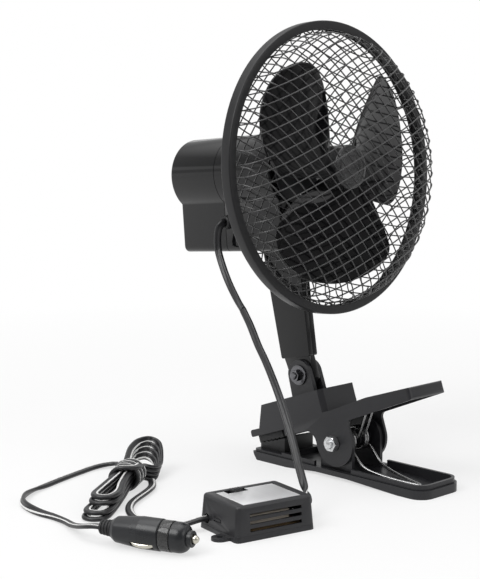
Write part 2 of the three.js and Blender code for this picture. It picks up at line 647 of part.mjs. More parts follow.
// A dome of crossing wires as one closed body. Every crossing has a front point, a back point
// and four corner points. Each stretch of wire joins the sections of two crossings.
function wireDome(edgeY, height, holeRadius) {
  const position = [];
  const index = [];
  const [turn, crossing] = [meshTurn * RAD, meshCrossing * RAD];
  const [step, half, skew] = [wirePitch / Math.sin(crossing), wireHalf / Math.sin(crossing), Math.cos(crossing)];
  const radiusAt = (u, v) => Math.sqrt(u * u + v * v + 2 * u * v * skew);
  const depth = r => {
    const share = Math.min(r / grilleShoulder, 1);
    return edgeY + height * Math.pow(Math.max(1 - share ** domePower, 0), 1 / domePower);
  };
  const place = (u, v, y) => {
    const x = u * Math.cos(turn) + v * Math.cos(turn + crossing);
    const z = u * Math.sin(turn) + v * Math.sin(turn + crossing);
    position.push(x, y, z);
    return position.length / 3 - 1;
  };
  const count = Math.floor(grilleEdge / wirePitch);
  const crossings = new Map();
  const key = (i, j) => i * 1000 + j;
  for (let i = -count; i <= count; i++) {
    for (let j = -count; j <= count; j++) {
      const [u, v] = [i * step, j * step];
      const r = radiusAt(u, v);
      if (r > grilleEdge - 2 * wireHalf || r < holeRadius) continue;
      const y = depth(r);
      const corners = [[1, 1], [-1, 1], [-1, -1], [1, -1]]
        .map(([a, b]) => place(u + a * half, v + b * half, y));
      const [back, front] = [place(u, v, y + wireHalf), place(u, v, y - wireHalf)];
      crossings.set(key(i, j), { u, v, back, front, corners });
    }
  }
  // the four points of a wire's section, in order round it, for each of the four ways out
  const section = (at, way) => [at.back, at.corners[(way + 3) % 4], at.front, at.corners[way]];
  const facing = (at, way) => {
    const [back, left, front, right] = section(at, (way + 2) % 4);
    return [back, right, front, left];
  };
  const sleeve = (a, b) => {
    for (let k = 0; k < 4; k++) {
      const n = (k + 1) % 4;
      index.push(a[k], b[k], b[n], a[k], b[n], a[n]);
    }
  };
  const ways = [[1, 0], [0, 1], [-1, 0], [0, -1]];
  const sides = [[0, 1], [-1, 0], [0, -1], [1, 0]];
  const sectionAt = (at, way, radius) => {
    const [di, dj] = ways[way];
    const [along, across] = di ? [at.u, at.v] : [at.v, at.u];
    const middle = -across * skew;
    const reach = Math.sqrt(radius ** 2 - across ** 2 + middle ** 2);
    const end = middle + (di + dj) * reach * (Math.sign((along - middle) * (di + dj)) || 1);
    const [u, v] = di ? [end, at.v] : [at.u, end];
    const [sideU, sideV] = sides[way].map(share => share * half);
    const y = depth(radius);
    return [
      place(u, v, y + wireHalf), place(u - sideU, v - sideV, y),
      place(u, v, y - wireHalf), place(u + sideU, v + sideV, y),
    ];
  };
  for (const [id, at] of crossings) {
    const here = radiusAt(at.u, at.v);
    ways.forEach(([di, dj], way) => {
      const neighbour = crossings.get(id + di * 1000 + dj);
      const there = radiusAt(at.u + di * step, at.v + dj * step);
      const crosses = (here - grilleShoulder) * (Math.min(there, grilleEdge) - grilleShoulder) < 0;
      let end = section(at, way);
      if (crosses && !(neighbour && way > 1)) {
        const middle = sectionAt(at, way, grilleShoulder);
        sleeve(end, middle);
        end = middle;
      }
      if (neighbour && way < 2) sleeve(end, facing(neighbour, way));
      if (neighbour) return;
      if (there > here) {
        const rim = sectionAt(at, way, grilleEdge);
        sleeve(end, rim);
        end = rim;
      }
      index.push(end[0], end[2], end[1], end[0], end[3], end[2]);
    });
  }
  const geometry = new THREE.BufferGeometry();
  geometry.setAttribute('position', new THREE.Float32BufferAttribute(position, 3));
  geometry.setIndex(index);
  return facingOut(geometry);
}

const frontEdge = guardSkin + wireHalf + seat;
const rearEdge = guardDepth - guardSkin - wireHalf - seat;
const grilleHole = shaftRadius + 8;
const housingFront = rearEdge + rearDome + wireHalf + seat;
const motorFront = housingFront + motorNose;
add(head, 'front_grille', wireDome(frontEdge, -frontDome, 0), blackWire);
add(head, 'rear_grille', wireDome(rearEdge, rearDome, grilleHole), blackWire);

// ---------- propeller: a capped hub with three broad twisted blades ----------
// A blade is a sheet of even thickness over a rounded outline.
const bladeRadius = grilleShoulder - bladeClearance;

function bladeSheet(angle) {
  const [along, across] = [9, 8];
  const root = hubRadius - hubWall / 2;
  const surface = (share, side, lift) => {
    const s = Math.sin(share * Math.PI / 2);
    const t = side * Math.sqrt(Math.max(1 - s ** 15, 0.02));
    const reach = root + (bladeRadius - root) * s;
    const phi = (angle - bladeBow * s * (1 - s) - bladeSweep * s + t * (bladeSpan - bladeTaper * s)) * RAD;
    const rise = bladeMiddle - t * (bladeRise + bladeTwist * s) + bladeCup * (1 - t * t) * s;
    return [reach * Math.cos(phi), rise + lift, reach * Math.sin(phi)];
  };
  const position = [];
  const index = [];
  const row = across + 1;
  for (const lift of [-bladeThickness / 2, bladeThickness / 2]) {
    for (let i = 0; i <= along; i++) {
      for (let j = 0; j <= across; j++) position.push(...surface(i / along, 2 * j / across - 1, lift));
    }
  }
  const layer = (along + 1) * row;
  const quad = (a, b, c, d) => index.push(a, b, c, a, c, d);
  for (let i = 0; i < along; i++) {
    for (let j = 0; j < across; j++) {
      const a = i * row + j;
      quad(a, a + 1, a + row + 1, a + row);
      quad(layer + a, layer + a + row, layer + a + row + 1, layer + a + 1);
    }
  }
  const edge = [];
  for (let j = 0; j < across; j++) edge.push(j);
  for (let i = 0; i < along; i++) edge.push(i * row + across);
  for (let j = across; j > 0; j--) edge.push(along * row + j);
  for (let i = along; i > 0; i--) edge.push(i * row);
  edge.forEach((a, k) => {
    const b = edge[(k + 1) % edge.length];
    quad(b, a, layer + a, layer + b);
  });
  const geometry = new THREE.BufferGeometry();
  geometry.setAttribute('position', new THREE.Float32BufferAttribute(position, 3));
  geometry.setIndex(index);
  return solidOf(geometry);
}

function makePropeller() {
  const cap = turned([
    [0, hubFront], [hubRadius - 2, hubFront], [hubRadius, hubFront + 2], [hubRadius, hubRear],
    [hubRadius - hubWall, hubRear], [hubRadius - hubWall, hubFront + hubWall + 2], [bossRadius, hubFront + hubWall + 2],
    [bossRadius, hubRear], [0, hubRear],
  ], 32);
  const blades = [0, 1, 2].map(k => bladeSheet(bladeStart + 120 * k));
  const inside = solidOf(rodY(hubRadius - hubWall, hubFront + hubWall + 2, hubRear + 10, 0, 0, 32));
  const boss = solidOf(rodY(bossRadius, hubFront + 1, hubRear, 0, 0, 20));
  const bore = solidOf(rodY(shaftRadius + seat, hubFront + hubWall + 3, hubRear + 5, 0, 0, 16));
  return geometryOf(cut(join(cut(join(solidOf(cap), ...blades), inside), boss), bore));
}
add(head, 'propeller', makePropeller(), glossBlack);

// ---------- motor, in its housing ----------
const motorRear = motorFront + motorLength;
add(head, 'motor_shaft', rodY(shaftRadius, hubFront + hubWall + 3 + seat, motorFront + 12, 0, 0, 16), steel);

function makeMotor() {
  const can = turned([
    [0, motorFront - 3], [bossRadius, motorFront - 3], [bossRadius, motorFront], [motorRadius - 1, motorFront],
    [motorRadius, motorFront + 1], [motorRadius, motorRear], [bossRadius, motorRear],
    [bossRadius, motorRear + 3], [0, motorRear + 3],
  ], 32);
  const bore = solidOf(rodY(shaftRadius + running, motorFront - 4, motorFront + 12 + running, 0, 0, 16));
  return geometryOf(cut(solidOf(can), bore));
}
add(head, 'motor', makeMotor(), steel);

// keyhole outline: a round case over a narrower box
function keyhole(inset) {
  const r = housingRadius - inset;
  const x = housingHalf - inset;
  const low = -housingDrop + inset;
  const c = Math.max(housingCorner - inset, 0.5);
  const start = -Math.acos(x / r);
  const shape = new THREE.Shape();
  shape.moveTo(x, r * Math.sin(start));
  shape.absarc(0, 0, r, start, Math.PI - start);
  shape.lineTo(-x, low + c).absarc(-x + c, low + c, c, Math.PI, Math.PI * 1.5);
  shape.lineTo(x - c, low).absarc(x - c, low + c, c, -Math.PI / 2, 0);
  return shape;
}

// arm seen from the head's frame
const armInHead = new THREE.Matrix4().makeRotationX(headTilt * RAD)
  .multiply(new THREE.Matrix4().makeTranslation(0, tiltBack - headY, tiltUp - headZ))
  .multiply(new THREE.Matrix4().makeRotationX(-armLean * RAD));

function armPassage() {
  return solidOf(alongX(armOutline(-seat, armStart, armLength + seat), -armHalf - seat, armHalf + seat)
    .applyMatrix4(armInHead));
}

const screwPlaces = [[-1, 0.62], [1, 0.62]].map(([side, share]) => [side * (housingHalf - 8), -housingDrop * share]);
const screwSeat = housingRear - 3;

function makeFrontHousing() {
  const outer = solidOf(alongY(keyhole(0), housingFront, housingSeam, 16));
  const room = solidOf(alongY(keyhole(housingWall), housingFront + housingWall, housingSeam + 1, 16));
  const noseHole = solidOf(rodY(bossRadius + seat, housingFront - 1, motorFront, 0, 0, 24));
  const posts = screwPlaces.map(([x, z]) => solidOf(rodY(4, housingFront + 1, housingSeam - 6, x, z, 12)));
  const holes = screwPlaces.map(([x, z]) => solidOf(rodY(screwRadius + seat, housingSeam - screwBite - 2, housingSeam, x, z, 12)));
  const cradle = solidOf(rodY(motorRadius + seat + 2, housingFront + 1, motorFront + 14, 0, 0, 32));
  const bed = solidOf(rodY(motorRadius + seat, motorFront - seat, motorFront + motorLength / 2, 0, 0, 32));
  return geometryOf(cut(join(cut(outer, room), cradle, ...posts), bed, noseHole, armPassage(), ...holes));
}

function makeRearHousing() {
  const outer = solidOf(alongY(keyhole(0), housingSeam + seat, housingRear, 16));
  const room = solidOf(alongY(keyhole(housingWall), housingSeam, housingRear - housingWall, 16));
  const posts = screwPlaces.map(([x, z]) => solidOf(rodY(4.4, housingSeam - 5, housingRear - 1, x, z, 12)));
  const holes = screwPlaces.map(([x, z]) => solidOf(rodY(screwRadius + seat, housingSeam - 6, housingRear + 1, x, z, 12)));
  const sinks = screwPlaces.map(([x, z]) => solidOf(rodY(screwHead + seat, screwSeat - 2, housingRear + 1, x, z, 16)));
  return geometryOf(cut(join(cut(outer, room), ...posts), ...holes, ...sinks));
}
add(head, 'front_housing', makeFrontHousing(), glossBlack);
add(head, 'rear_housing', makeRearHousing(), glossBlack);
screwPlaces.forEach(([x, z], k) => {
  const shank = solidOf(rodY(screwRadius, housingSeam - screwBite, screwSeat - 1, x, z, 12));
  const top = solidOf(rodY(screwHead, screwSeat - 2 + seat, screwSeat, x, z, 16));
  add(head, `housing_screw_${k + 1}`, geometryOf(join(shank, top)), steel);
});

// clamp plate on the inside of the rear grille, with three screws
const clampRear = rearEdge + rearDome - wireHalf - seat;
function makeClampPlate() {
  const plate = turned(closedLoop([
    [shaftRadius + 3, clampRear - clampThickness], [clampRadius, clampRear - clampThickness],
    [clampRadius, clampRear - 0.4], [clampRadius - 1, clampRear], [shaftRadius + 3, clampRear],
  ]), 40);
  return geometryOf(solidOf(plate));
}
add(head, 'grille_clamp_plate', makeClampPlate(), satinBlack);
for (let k = 0; k < 3; k++) {
  const angle = (30 + 120 * k) * RAD;
  const [x, z] = [(clampRadius - 6) * Math.cos(angle), (clampRadius - 6) * Math.sin(angle)];
  const front = clampRear - clampThickness - seat;
  add(head, `clamp_screw_${k + 1}`, rodY(screwHead - 0.4, front - 1.6, front, x, z, 12), steel);
}

// cord outlet in the side of the housing's box
function makeOutlet() {
  const body = turned(closedLoop([
    [cordRadius + seat, 0], [cordRadius + 2.6, 0], [cordRadius + 2.2, 2.6], [cordRadius + 1.2, 3.4], [cordRadius + seat, 3.4],
  ]), 20);
  return body.rotateZ(Math.PI / 2).translate(-housingHalf - seat, housingSeam - outletToSeam, outletZ);
}
add(head, 'cord_outlet', makeOutlet(), rubber);

// ---------- in-line speed control ----------
function controlPrism(inset, z0, z1) {
  const corner = Math.max(3 - inset, 0.8);
  const shape = roundedRectangle(inset, controlLength - inset, inset, controlWidth - inset, corner);
  const geometry = alongZ(shape, z0, z1, 4);
  const p = geometry.attributes.position;
  const [cx, cy] = [controlLength / 2, controlWidth / 2];
  for (let i = 0; i < p.count; i++) {
    const share = controlDraft * p.getZ(i) / controlHeight;
    p.setX(i, cx + (p.getX(i) - cx) * (1 - share / cx));
    p.setY(i, cy + (p.getY(i) - cy) * (1 - share / cy));
  }
  return solidOf(geometry);
}

const controlSeam = controlBase + seat;
const tailEntryY = controlWidth - tailInset;
const headEntryY = controlWidth / 2;

function makeControlCover() {
  const outer = controlPrism(0, controlSeam, controlHeight);
  const room = controlPrism(controlWall, controlSeam - 1, controlHeight - controlWall);
  const vents = ventHeights.map(z => solidOf(block(
    (controlLength - ventLength) / 2, (controlLength + ventLength) / 2, -1, controlWall + 2,
    z - ventHeight / 2, z + ventHeight / 2)));
  const recess = solidOf(block(
    label.x0, label.x1, label.y0, label.y1, controlHeight - labelRecess, controlHeight + 1));
  const slot = solidOf(block(
    knob.x - knob.half - switchTravel - running, knob.x + knob.half + switchTravel + running,
    knob.y - knob.depth - running, knob.y + knob.depth + running, controlHeight - controlWall - 1, controlHeight + 1));
  const entry = cordRadius + seat;
  const tailHole = solidOf(rodX(entry, -1, controlWall + 3, tailEntryY, tailHeight, 16));
  const headHole = solidOf(rodX(entry, controlLength - 5, controlLength + 1, headEntryY, entryHeight, 16));
  return geometryOf(cut(outer, room, recess, slot, tailHole, headHole, ...vents));
}
add(control, 'control_cover', makeControlCover(), satinBlack);

function makeControlBase() {
  const plate = controlPrism(0, 0, controlBase);
  const lip = cut(controlPrism(controlWall + seat, controlBase - 1, controlBase + 2.4),
    controlPrism(controlWall + seat + 1.2, controlBase - 2, controlBase + 4));
  const ear = new THREE.Shape();
  ear.absarc(-4, controlWidth * 0.3, 5.5, Math.PI / 2, Math.PI * 1.5);
  ear.lineTo(2, controlWidth * 0.3 - 5.5);
  ear.lineTo(2, controlWidth * 0.3 + 5.5);
  const tab = solidOf(alongZ(ear, 0, 2, 8));
  const hole = solidOf(rodZ(2, -1, 4, -4, controlWidth * 0.3, 16));
  return geometryOf(cut(join(plate, lip, tab), hole));
}
add(control, 'control_base', makeControlBase(), satinBlack);

add(control, 'label_plate', block(
  label.x0 + seat, label.x1 - seat, label.y0 + seat, label.y1 - seat,
  controlHeight - labelRecess + 0.15, controlHeight - 0.05), steel);
const boardTop = controlBase + seat + 1.6;
add(control, 'circuit_board', block(
  6, controlLength - 6, 6, controlWidth - 6, boardTop - 1.6, boardTop), boardGreen);
add(control, 'speed_resistor', geometryOf(solidOf(block(
  13, controlLength - 15, 8, 17, boardTop + seat, boardTop + 9))), ceramic);
const switchTop = controlHeight - controlWall - seat;
add(control, 'switch_body', block(
  knob.x - 10, knob.x + 10, knob.y - 4, knob.y + 4, boardTop + seat, switchTop - 3), satinBlack);

function makeKnob() {
  const foot = solidOf(block(
    knob.x - knob.half, knob.x + knob.half, knob.y - knob.depth, knob.y + knob.depth,
    switchTop - 3 + seat, controlHeight + 1.6));
  const grooves = [-1, 0, 1].map(k => solidOf(block(
    knob.x + k * 2 - 0.4, knob.x + k * 2 + 0.4, knob.y - 9, knob.y + 9, controlHeight + 1, controlHeight + 3)));
  return geometryOf(cut(foot, ...grooves));
}
add(control, 'switch_knob', makeKnob(), satinBlack);

// ---------- accessory plug, lying on the table ----------
const bodyFront = pinOut + capLength + ringLength;
const bodyRear = bodyFront + plugBodyLength;
const pocketStart = bodyFront + 3;

function makePlugBody() {
  const body = turned([
    [0, bodyFront], [plugRadius - 1, bodyFront], [plugRadius, bodyFront + 1], [plugRadius, bodyFront + 14],
    [plugTailRadius, bodyRear - 3], [plugTailRadius - 2, bodyRear], [0, bodyRear],
  ], 32);
  const pockets = [-1, 1].map(side => {
    const [x0, x1] = [side * (plugRadius - pocketDepth), side * (plugRadius + 1)];
    return solidOf(block(Math.min(x0, x1), Math.max(x0, x1),
      pocketStart, pocketStart + pocketLength, -pocketHalf, pocketHalf));
  });
  const tailBore = solidOf(rodY(cordRadius + 1.8 + seat, bodyRear - 6, bodyRear + 1, 0, 0, 16));
  return geometryOf(cut(solidOf(body), tailBore, ...pockets));
}
add(plug, 'plug_body', makePlugBody(), satinBlack);

add(plug, 'plug_clear_ring', turned(closedLoop([
  [4, bodyFront - ringLength], [plugRadius - ringInset, bodyFront - ringLength],
  [plugRadius - ringInset, bodyFront - seat], [4, bodyFront - seat],
]), 32), clearPlastic);

function makeTipCap() {
  const shoulder = Array.from({ length: 6 }, (_, k) => {
    const angle = k * 18 * RAD;
    return [noseRadius + (capRadius - noseRadius) * Math.sin(angle),
      pinOut + noseLength + capShoulder * (1 - Math.cos(angle))];
  });
  const cap = turned([
    [0, pinOut], [noseRadius - 0.6, pinOut], [noseRadius, pinOut + 0.6], ...shoulder,
    [capRadius, bodyFront - ringLength - seat], [0, bodyFront - ringLength - seat],
  ], 28);
  const bore = solidOf(rodY(pinRadius + running, pinOut - 1, pinOut + 8, 0, 0, 20));
  return geometryOf(cut(solidOf(cap), bore));
}
add(plug, 'plug_tip_cap', makeTipCap(), satinBlack);

add(plug, 'plug_centre_pin', turned([
  [0, 0], [pinRadius - 1.2, 0.4], [pinRadius, 1.6], [pinRadius, pinOut + 8 - seat - pinTravel],
  [0, pinOut + 8 - seat - pinTravel],
], 20), steel);

function makeContact(side) {
  const r = plugRadius;
  const deep = r - pocketDepth + seat + contactTravel;
  const outline = new THREE.Shape();
  const [start, end] = [pocketStart + 2 * seat, pocketStart + pocketLength - 2 * seat];
  outline.moveTo(deep, start);
  outline.lineTo(r - 1, start);
  outline.quadraticCurveTo(r + 2.2, (start + end) / 2, r - 1, end);
  outline.lineTo(deep, end);
  const strip = alongZ(outline, running - pocketHalf, pocketHalf - running, 6);
  return side > 0 ? strip : strip.rotateY(Math.PI);
}
add(plug, 'plug_contact_left', makeContact(-1), steel);
add(plug, 'plug_contact_right', makeContact(1), steel);

function makeStrainRelief() {
  const collar = cordRadius + 1.8;
  const outline = [[cordRadius + seat, bodyRear - 5.6], [collar, bodyRear - 5.6], [collar, bodyRear + seat]];
  const ribs = 4;
  const y0 = bodyRear + seat;
  for (let k = 0; k < ribs; k++) {
    const y = y0 + k * (reliefLength / ribs);
    const r = cordRadius + 2.6 - k * 0.28;
    outline.push([r, y + 0.2], [r, y + 1.9], [r - 0.9, y + 2.1], [r - 0.9, y + reliefLength / ribs - 0.1]);
  }
  outline.push([cordRadius + seat, y0 + reliefLength]);
  return turned(closedLoop(outline), 14);
}
add(plug, 'plug_strain_relief', makeStrainRelief(), rubber);

// ---------- cords, from the clip pivot: chosen by hand ----------
const upperCord = [
  [-19.6, 110.7, 177.1], [-21.6, 110.7, 177.1], [-23.6, 110.7, 177.0], [-26.6, 111.6, 174.0], [-27.5, 112.6, 167.0],
  [-27.7, 112.0, 158.0], [-28.15, 110.6, 154.6], [-28.72, 109.0, 152.1],
];
const lowerCord = [
  [-28.83, 108.7, 151.6], [-29.4, 107.1, 149.1], [-31.2, 101.5, 141.9], [-34.6, 92.0, 132.6],
  [-40.2, 78.5, 123.6], [-46.3, 66.0, 117.8], [-53.0, 51.6, 109.0], [-60.0, 36.7, 97.5], [-66.3, 23.2, 89.0],
  [-72.2, 10.7, 80.0], [-79.7, -5.5, 66.0], [-87.1, -21.2, 49.5], [-92.7, -33.2, 33.4],
  [-96.8, -42.6, 20.5], [-100.2, -49.8, 13.0], [-104.6, -54.0, 10.0], [-109.6, -53.9, 9.5],
  [-112.7, -53.3, 9.5], [-116.6, -52.5, 9.5],
];
const tailCord = [
  [-168.6, -28.0, 7.5], [-172.5, -27.2, 7.5], [-176.4, -26.4, 7.4], [-182.4, -23.6, 6.0],
  [-187.0, -16.5, 4.0], [-189.6, -5.5, 2.95], [-190.9, 5.0, 2.9], [-190.2, 15.4, 2.9],
  [-187.6, 25.0, 2.9], [-182.8, 34.0, 2.9], [-176.6, 42.6, 2.9],
];
const plugCord = [
  [-107.2, 126.5, 2.9], [-109.0, 131.2, 2.9], [-113.0, 136.2, 2.9], [-120.5, 139.4, 2.9],
  [-131.0, 138.6, 2.9], [-147.0, 134.6, 2.9], [-167.5, 128.3, 2.9], [-184.8, 122.9, 2.9],
  [-201.6, 117.6, 2.9], [-212.8, 111.0, 2.9], [-221.0, 100.5, 2.9], [-226.6, 86.7, 2.9],
  [-228.0, 72.0, 2.9], [-228.2, 58.0, 2.9], [-230.6, 44.0, 2.9], [-234.2, 30.0, 3.4],
  [-236.8, 18.0, 5.4], [-237.6, 9.0, 8.4], [-236.6, 2.6, 9.8], [-234.5, -2.6, 10.0],
  [-232.0, -8.6, 10.0],
];
add(fan, 'cord_upper', tube(upperCord, cordRadius, 8, 16), cordBlack);
add(fan, 'cord_lower', tube(lowerCord, cordRadius, 8, 26), cordBlack);
add(fan, 'cord_tail', tube(tailCord, cordRadius, 8, 12), cordBlack);
add(fan, 'cord_to_plug', tube(plugCord, cordRadius, 8, 26), cordBlack);

// the tied hank: an outline with round ends
function makeHank() {
  const angle = Math.atan2(hank.y1 - hank.y0, hank.x1 - hank.x0);
  const shape = new THREE.Shape();
  shape.absarc(hank.x1, hank.y1, hank.radius, angle - Math.PI / 2, angle + Math.PI / 2);
  shape.absarc(hank.x0, hank.y0, hank.radius, angle + Math.PI / 2, angle + Math.PI * 1.5);
  return alongZ(shape, 0, hank.height, 8);
}
add(fan, 'cord_hank', makeHank(), cordBlack);

const group = fan;
export default group;
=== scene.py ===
import math

import bmesh
import bpy
import numpy as np
from mathutils import Matrix, Vector


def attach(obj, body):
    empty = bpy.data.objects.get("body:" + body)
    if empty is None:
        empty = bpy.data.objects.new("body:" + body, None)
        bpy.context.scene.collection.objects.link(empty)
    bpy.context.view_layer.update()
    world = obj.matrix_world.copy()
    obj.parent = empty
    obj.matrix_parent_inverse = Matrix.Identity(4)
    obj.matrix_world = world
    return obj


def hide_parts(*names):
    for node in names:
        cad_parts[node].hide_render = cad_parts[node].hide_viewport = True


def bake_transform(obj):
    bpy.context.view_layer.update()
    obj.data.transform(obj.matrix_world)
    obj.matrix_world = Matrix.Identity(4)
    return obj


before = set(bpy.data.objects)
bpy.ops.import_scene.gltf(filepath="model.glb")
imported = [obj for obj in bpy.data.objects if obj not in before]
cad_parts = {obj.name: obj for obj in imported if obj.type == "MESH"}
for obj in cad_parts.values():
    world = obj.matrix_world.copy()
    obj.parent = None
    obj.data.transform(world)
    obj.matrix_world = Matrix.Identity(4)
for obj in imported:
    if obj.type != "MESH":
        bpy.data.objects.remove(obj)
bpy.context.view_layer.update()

# ---------------------------------------------------------------- camera
# The fitted camera of the photograph: 44 degrees to the left of the fan's front, 8 degrees up.
# The long side of the 480 by 579 frame sets the focal length.
AZIMUTH, ELEVATION = math.radians(-44.21), math.radians(8.02)
CAMERA_PLACE = (-0.8001, -0.7658, 0.2850)
SENSOR_WIDTH, FOCAL_PIXELS, LONG_SIDE_PIXELS = 36, 1499.7, 579
back = Vector((
    math.sin(AZIMUTH) * math.cos(ELEVATION),
    -math.cos(AZIMUTH) * math.cos(ELEVATION),
    math.sin(ELEVATION),
))
camera_data = bpy.data.cameras.new("camera")
camera_data.sensor_width = SENSOR_WIDTH
camera_data.lens = FOCAL_PIXELS * SENSOR_WIDTH / LONG_SIDE_PIXELS
camera_data.clip_start = 0.05
camera_data.clip_end = 20
camera = bpy.data.objects.new("camera", camera_data)
camera.location = CAMERA_PLACE
camera.rotation_mode = "QUATERNION"
camera.rotation_quaternion = (-back).to_track_quat("-Z", "Y")
bpy.context.collection.objects.link(camera)
bpy.context.scene.camera = camera

# ---------------------------------------------------------------- lower lever
# A shallow open tray of satin black ABS that stands on two foot bands, with ears and bosses for the coils.
# Moulded in one piece. All pieces are drawn in millimetres in the frame of what carries them.
MM = 0.001
PIVOT_Y, PIVOT_HEIGHT = -60, 25.7


def placed(x, y, z, turn_x=0.0, turn_z=0.0):
    move = Matrix.Translation(Vector((x, y, z)) * MM)
    turned_z = Matrix.Rotation(math.radians(turn_z), 4, "Z")
    return move @ turned_z @ Matrix.Rotation(math.radians(turn_x), 4, "X")


AT_CLIP = placed(0, PIVOT_Y, 0)
AT_PIVOT = placed(0, PIVOT_Y, PIVOT_HEIGHT)


def arc(cx, cy, r, start, end, count=16):
    angles = np.radians(np.linspace(start, end, count))
    return [(cx + r * math.cos(a), cy + r * math.sin(a)) for a in angles]


def new_object(name, vertices, faces, place):
    data = bpy.data.meshes.new(name)
    data.from_pydata([tuple(v) for v in vertices], [], faces)
    data.transform(place @ Matrix.Scale(MM, 4))
    shape = bmesh.new()
    shape.from_mesh(data)
    bmesh.ops.remove_doubles(shape, verts=shape.verts, dist=1e-6)
    bmesh.ops.recalc_face_normals(shape, faces=shape.faces)
    shape.to_mesh(data)
    shape.free()
    obj = bpy.data.objects.new(name, data)
    bpy.context.collection.objects.link(obj)
    return obj


ALONG = {
    "x": lambda a, b, c: (c, a, b),
    "y": lambda a, b, c: (a, c, b),
    "z": lambda a, b, c: (a, b, c),
}


def lofted(name, layers, axis, place):
    at = ALONG[axis]
    count = len(layers[0][0])
    vertices = [at(a, b, c) for outline, c in layers for a, b in outline]
    faces = [list(range(count)), list(range(len(vertices) - 1, len(vertices) - count - 1, -1))]
    for k in range(0, (len(layers) - 1) * count, count):
        for i in range(count):
            n = (i + 1) % count
            faces.append([k + i, k + n, k + count + n, k + count + i])
    return new_object(name, vertices, faces, place)


def prism(name, outline, low, high, axis, place):
    return lofted(name, [(outline, low), (outline, high)], axis, place)


def slab(name, x, y, z, place):
    return prism(name, [(x[0], y[0]), (x[1], y[0]), (x[1], y[1]), (x[0], y[1])], z[0], z[1], "z", place)


def rod(name, radius, low, high, axis, place, at=(0, 0), sides=40):
    return prism(name, arc(*at, radius, 0, 360, sides + 1)[:-1], low, high, axis, place)


def applied(obj):
    depsgraph = bpy.context.evaluated_depsgraph_get()
    data = bpy.data.meshes.new_from_object(obj.evaluated_get(depsgraph))
    obj.modifiers.clear()
    obj.data = data
    return obj


def merged(obj, tools, operation):
    for tool in tools:
        step = obj.modifiers.new("step", "BOOLEAN")
        step.solver = "EXACT"
        step.operation = operation
        step.object = tool
        applied(obj)
        bpy.data.objects.remove(tool)
    return obj


def cut(obj, *tools):
    return merged(obj, tools, "DIFFERENCE")


def add(obj, *tools):
    return merged(obj, tools, "UNION")


def both_sides(inner, outer):
    return (inner, outer), (-outer, -inner)


def dressed(obj, material, body, nodes, edge=0.4, segments=2):
    if edge:
        bevel = obj.modifiers.new("edge", "BEVEL")
        bevel.width = edge * MM
        bevel.segments = segments
        bevel.limit_method = "ANGLE"
        bevel.angle_limit = math.radians(32)
        bevel.miter_outer = "MITER_ARC"
        applied(obj)
    obj.data.shade_smooth()
    obj.data.set_sharp_from_angle(angle=math.radians(38))
    obj.data.materials.clear()
    obj.data.materials.append(material)
    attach(obj, body)
    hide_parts(*nodes)
    return obj


def group_socket(group, name, kind, direction, value=None):
    made = group.interface.new_socket(name=name, socket_type=kind, in_out=direction)
    if value is not None:
        made.default_value = value
    return made


def fed(tree, node, inputs):
    # each input is a number, a colour, or an output of another node
    for name, value in inputs.items():
        if isinstance(value, bpy.types.NodeSocket):
            tree.links.new(value, node.inputs[name])
        else:
            node.inputs[name].default_value = value
    return node


def wired(tree, kind, inputs=None, **settings):
    node = tree.nodes.new(kind)
    for name, value in settings.items():
        setattr(node, name, value)
    return fed(tree, node, inputs or {}).outputs


def surface_group():
    # the fine grain of a mould, slow patches of gloss and shade on it, and a few specks of dust
    group = bpy.data.node_groups.new("moulded_surface", "ShaderNodeTree")
    group_socket(group, "Grain size", "NodeSocketFloat", "INPUT", 2500.0)
    group_socket(group, "Patch size", "NodeSocketFloat", "INPUT", 35.0)
    for name in ("Height", "Patch", "Dust"):
        group_socket(group, name, "NodeSocketFloat", "OUTPUT")
    entry = wired(group, "NodeGroupInput")
    place = wired(group, "ShaderNodeTexCoord")["Object"]
    grain = wired(group, "ShaderNodeTexNoise", {"Detail": 3, "Vector": place, "Scale": entry["Grain size"]})
    patch = wired(group, "ShaderNodeTexNoise", {
        "Detail": 4, "Roughness": 0.6, "Vector": place, "Scale": entry["Patch size"],
    })
    specks = wired(group, "ShaderNodeTexVoronoi", {"Scale": 900, "Vector": place})["Distance"]
    few = wired(group, "ShaderNodeMapRange", {"From Min": 0.13, "From Max": 0.04, "Value": specks})
    wired(group, "NodeGroupOutput", {"Height": grain["Fac"], "Patch": patch["Fac"], "Dust": few["Result"]})
    return group


MOULDED = surface_group()
DUST_COLOUR = (0.32, 0.31, 0.30)


def colour_mix(tree, first, second, factor):
    a, b = ((*colour, 1) if isinstance(colour, tuple) else colour for colour in (first, second))
    return wired(tree, "ShaderNodeMix", {"A": a, "B": b, "Factor": factor}, data_type="RGBA")["Result"]


def spread(tree, value, low, high, start=0.3, end=0.7):
    return wired(tree, "ShaderNodeMapRange", {
        "From Min": start, "From Max": end, "To Min": low, "To Max": high, "Value": value,
    })["Result"]


def bump(tree, height, strength, distance):
    return wired(tree, "ShaderNodeBump", {
        "Strength": strength, "Distance": distance, "Height": height,
    })["Normal"]


def shaded(name):
    material = bpy.data.materials.new(name)
    material.use_nodes = True
    return material, material.node_tree


def plastic(name, dark, light, gloss, matt, level=0.5, grain=2500.0, depth=0.00002, dust=0.03):
    # two shades and two glosses of one plastic, patch by patch, with the mould's grain and a little dust
    material, tree = shaded(name)
    effect = wired(tree, "ShaderNodeGroup", {"Grain size": grain}, node_tree=MOULDED)
    shade = colour_mix(tree, dark, light, effect["Patch"])
    amount = spread(tree, effect["Dust"], 0.0, dust, 0.0, 1.0)
    fed(tree, tree.nodes["Principled BSDF"], {
        "Specular IOR Level": level, "Base Color": colour_mix(tree, shade, DUST_COLOUR, amount),
        "Roughness": spread(tree, effect["Patch"], gloss, matt),
        "Normal": bump(tree, effect["Height"], 0.5, depth),
    })
    return material


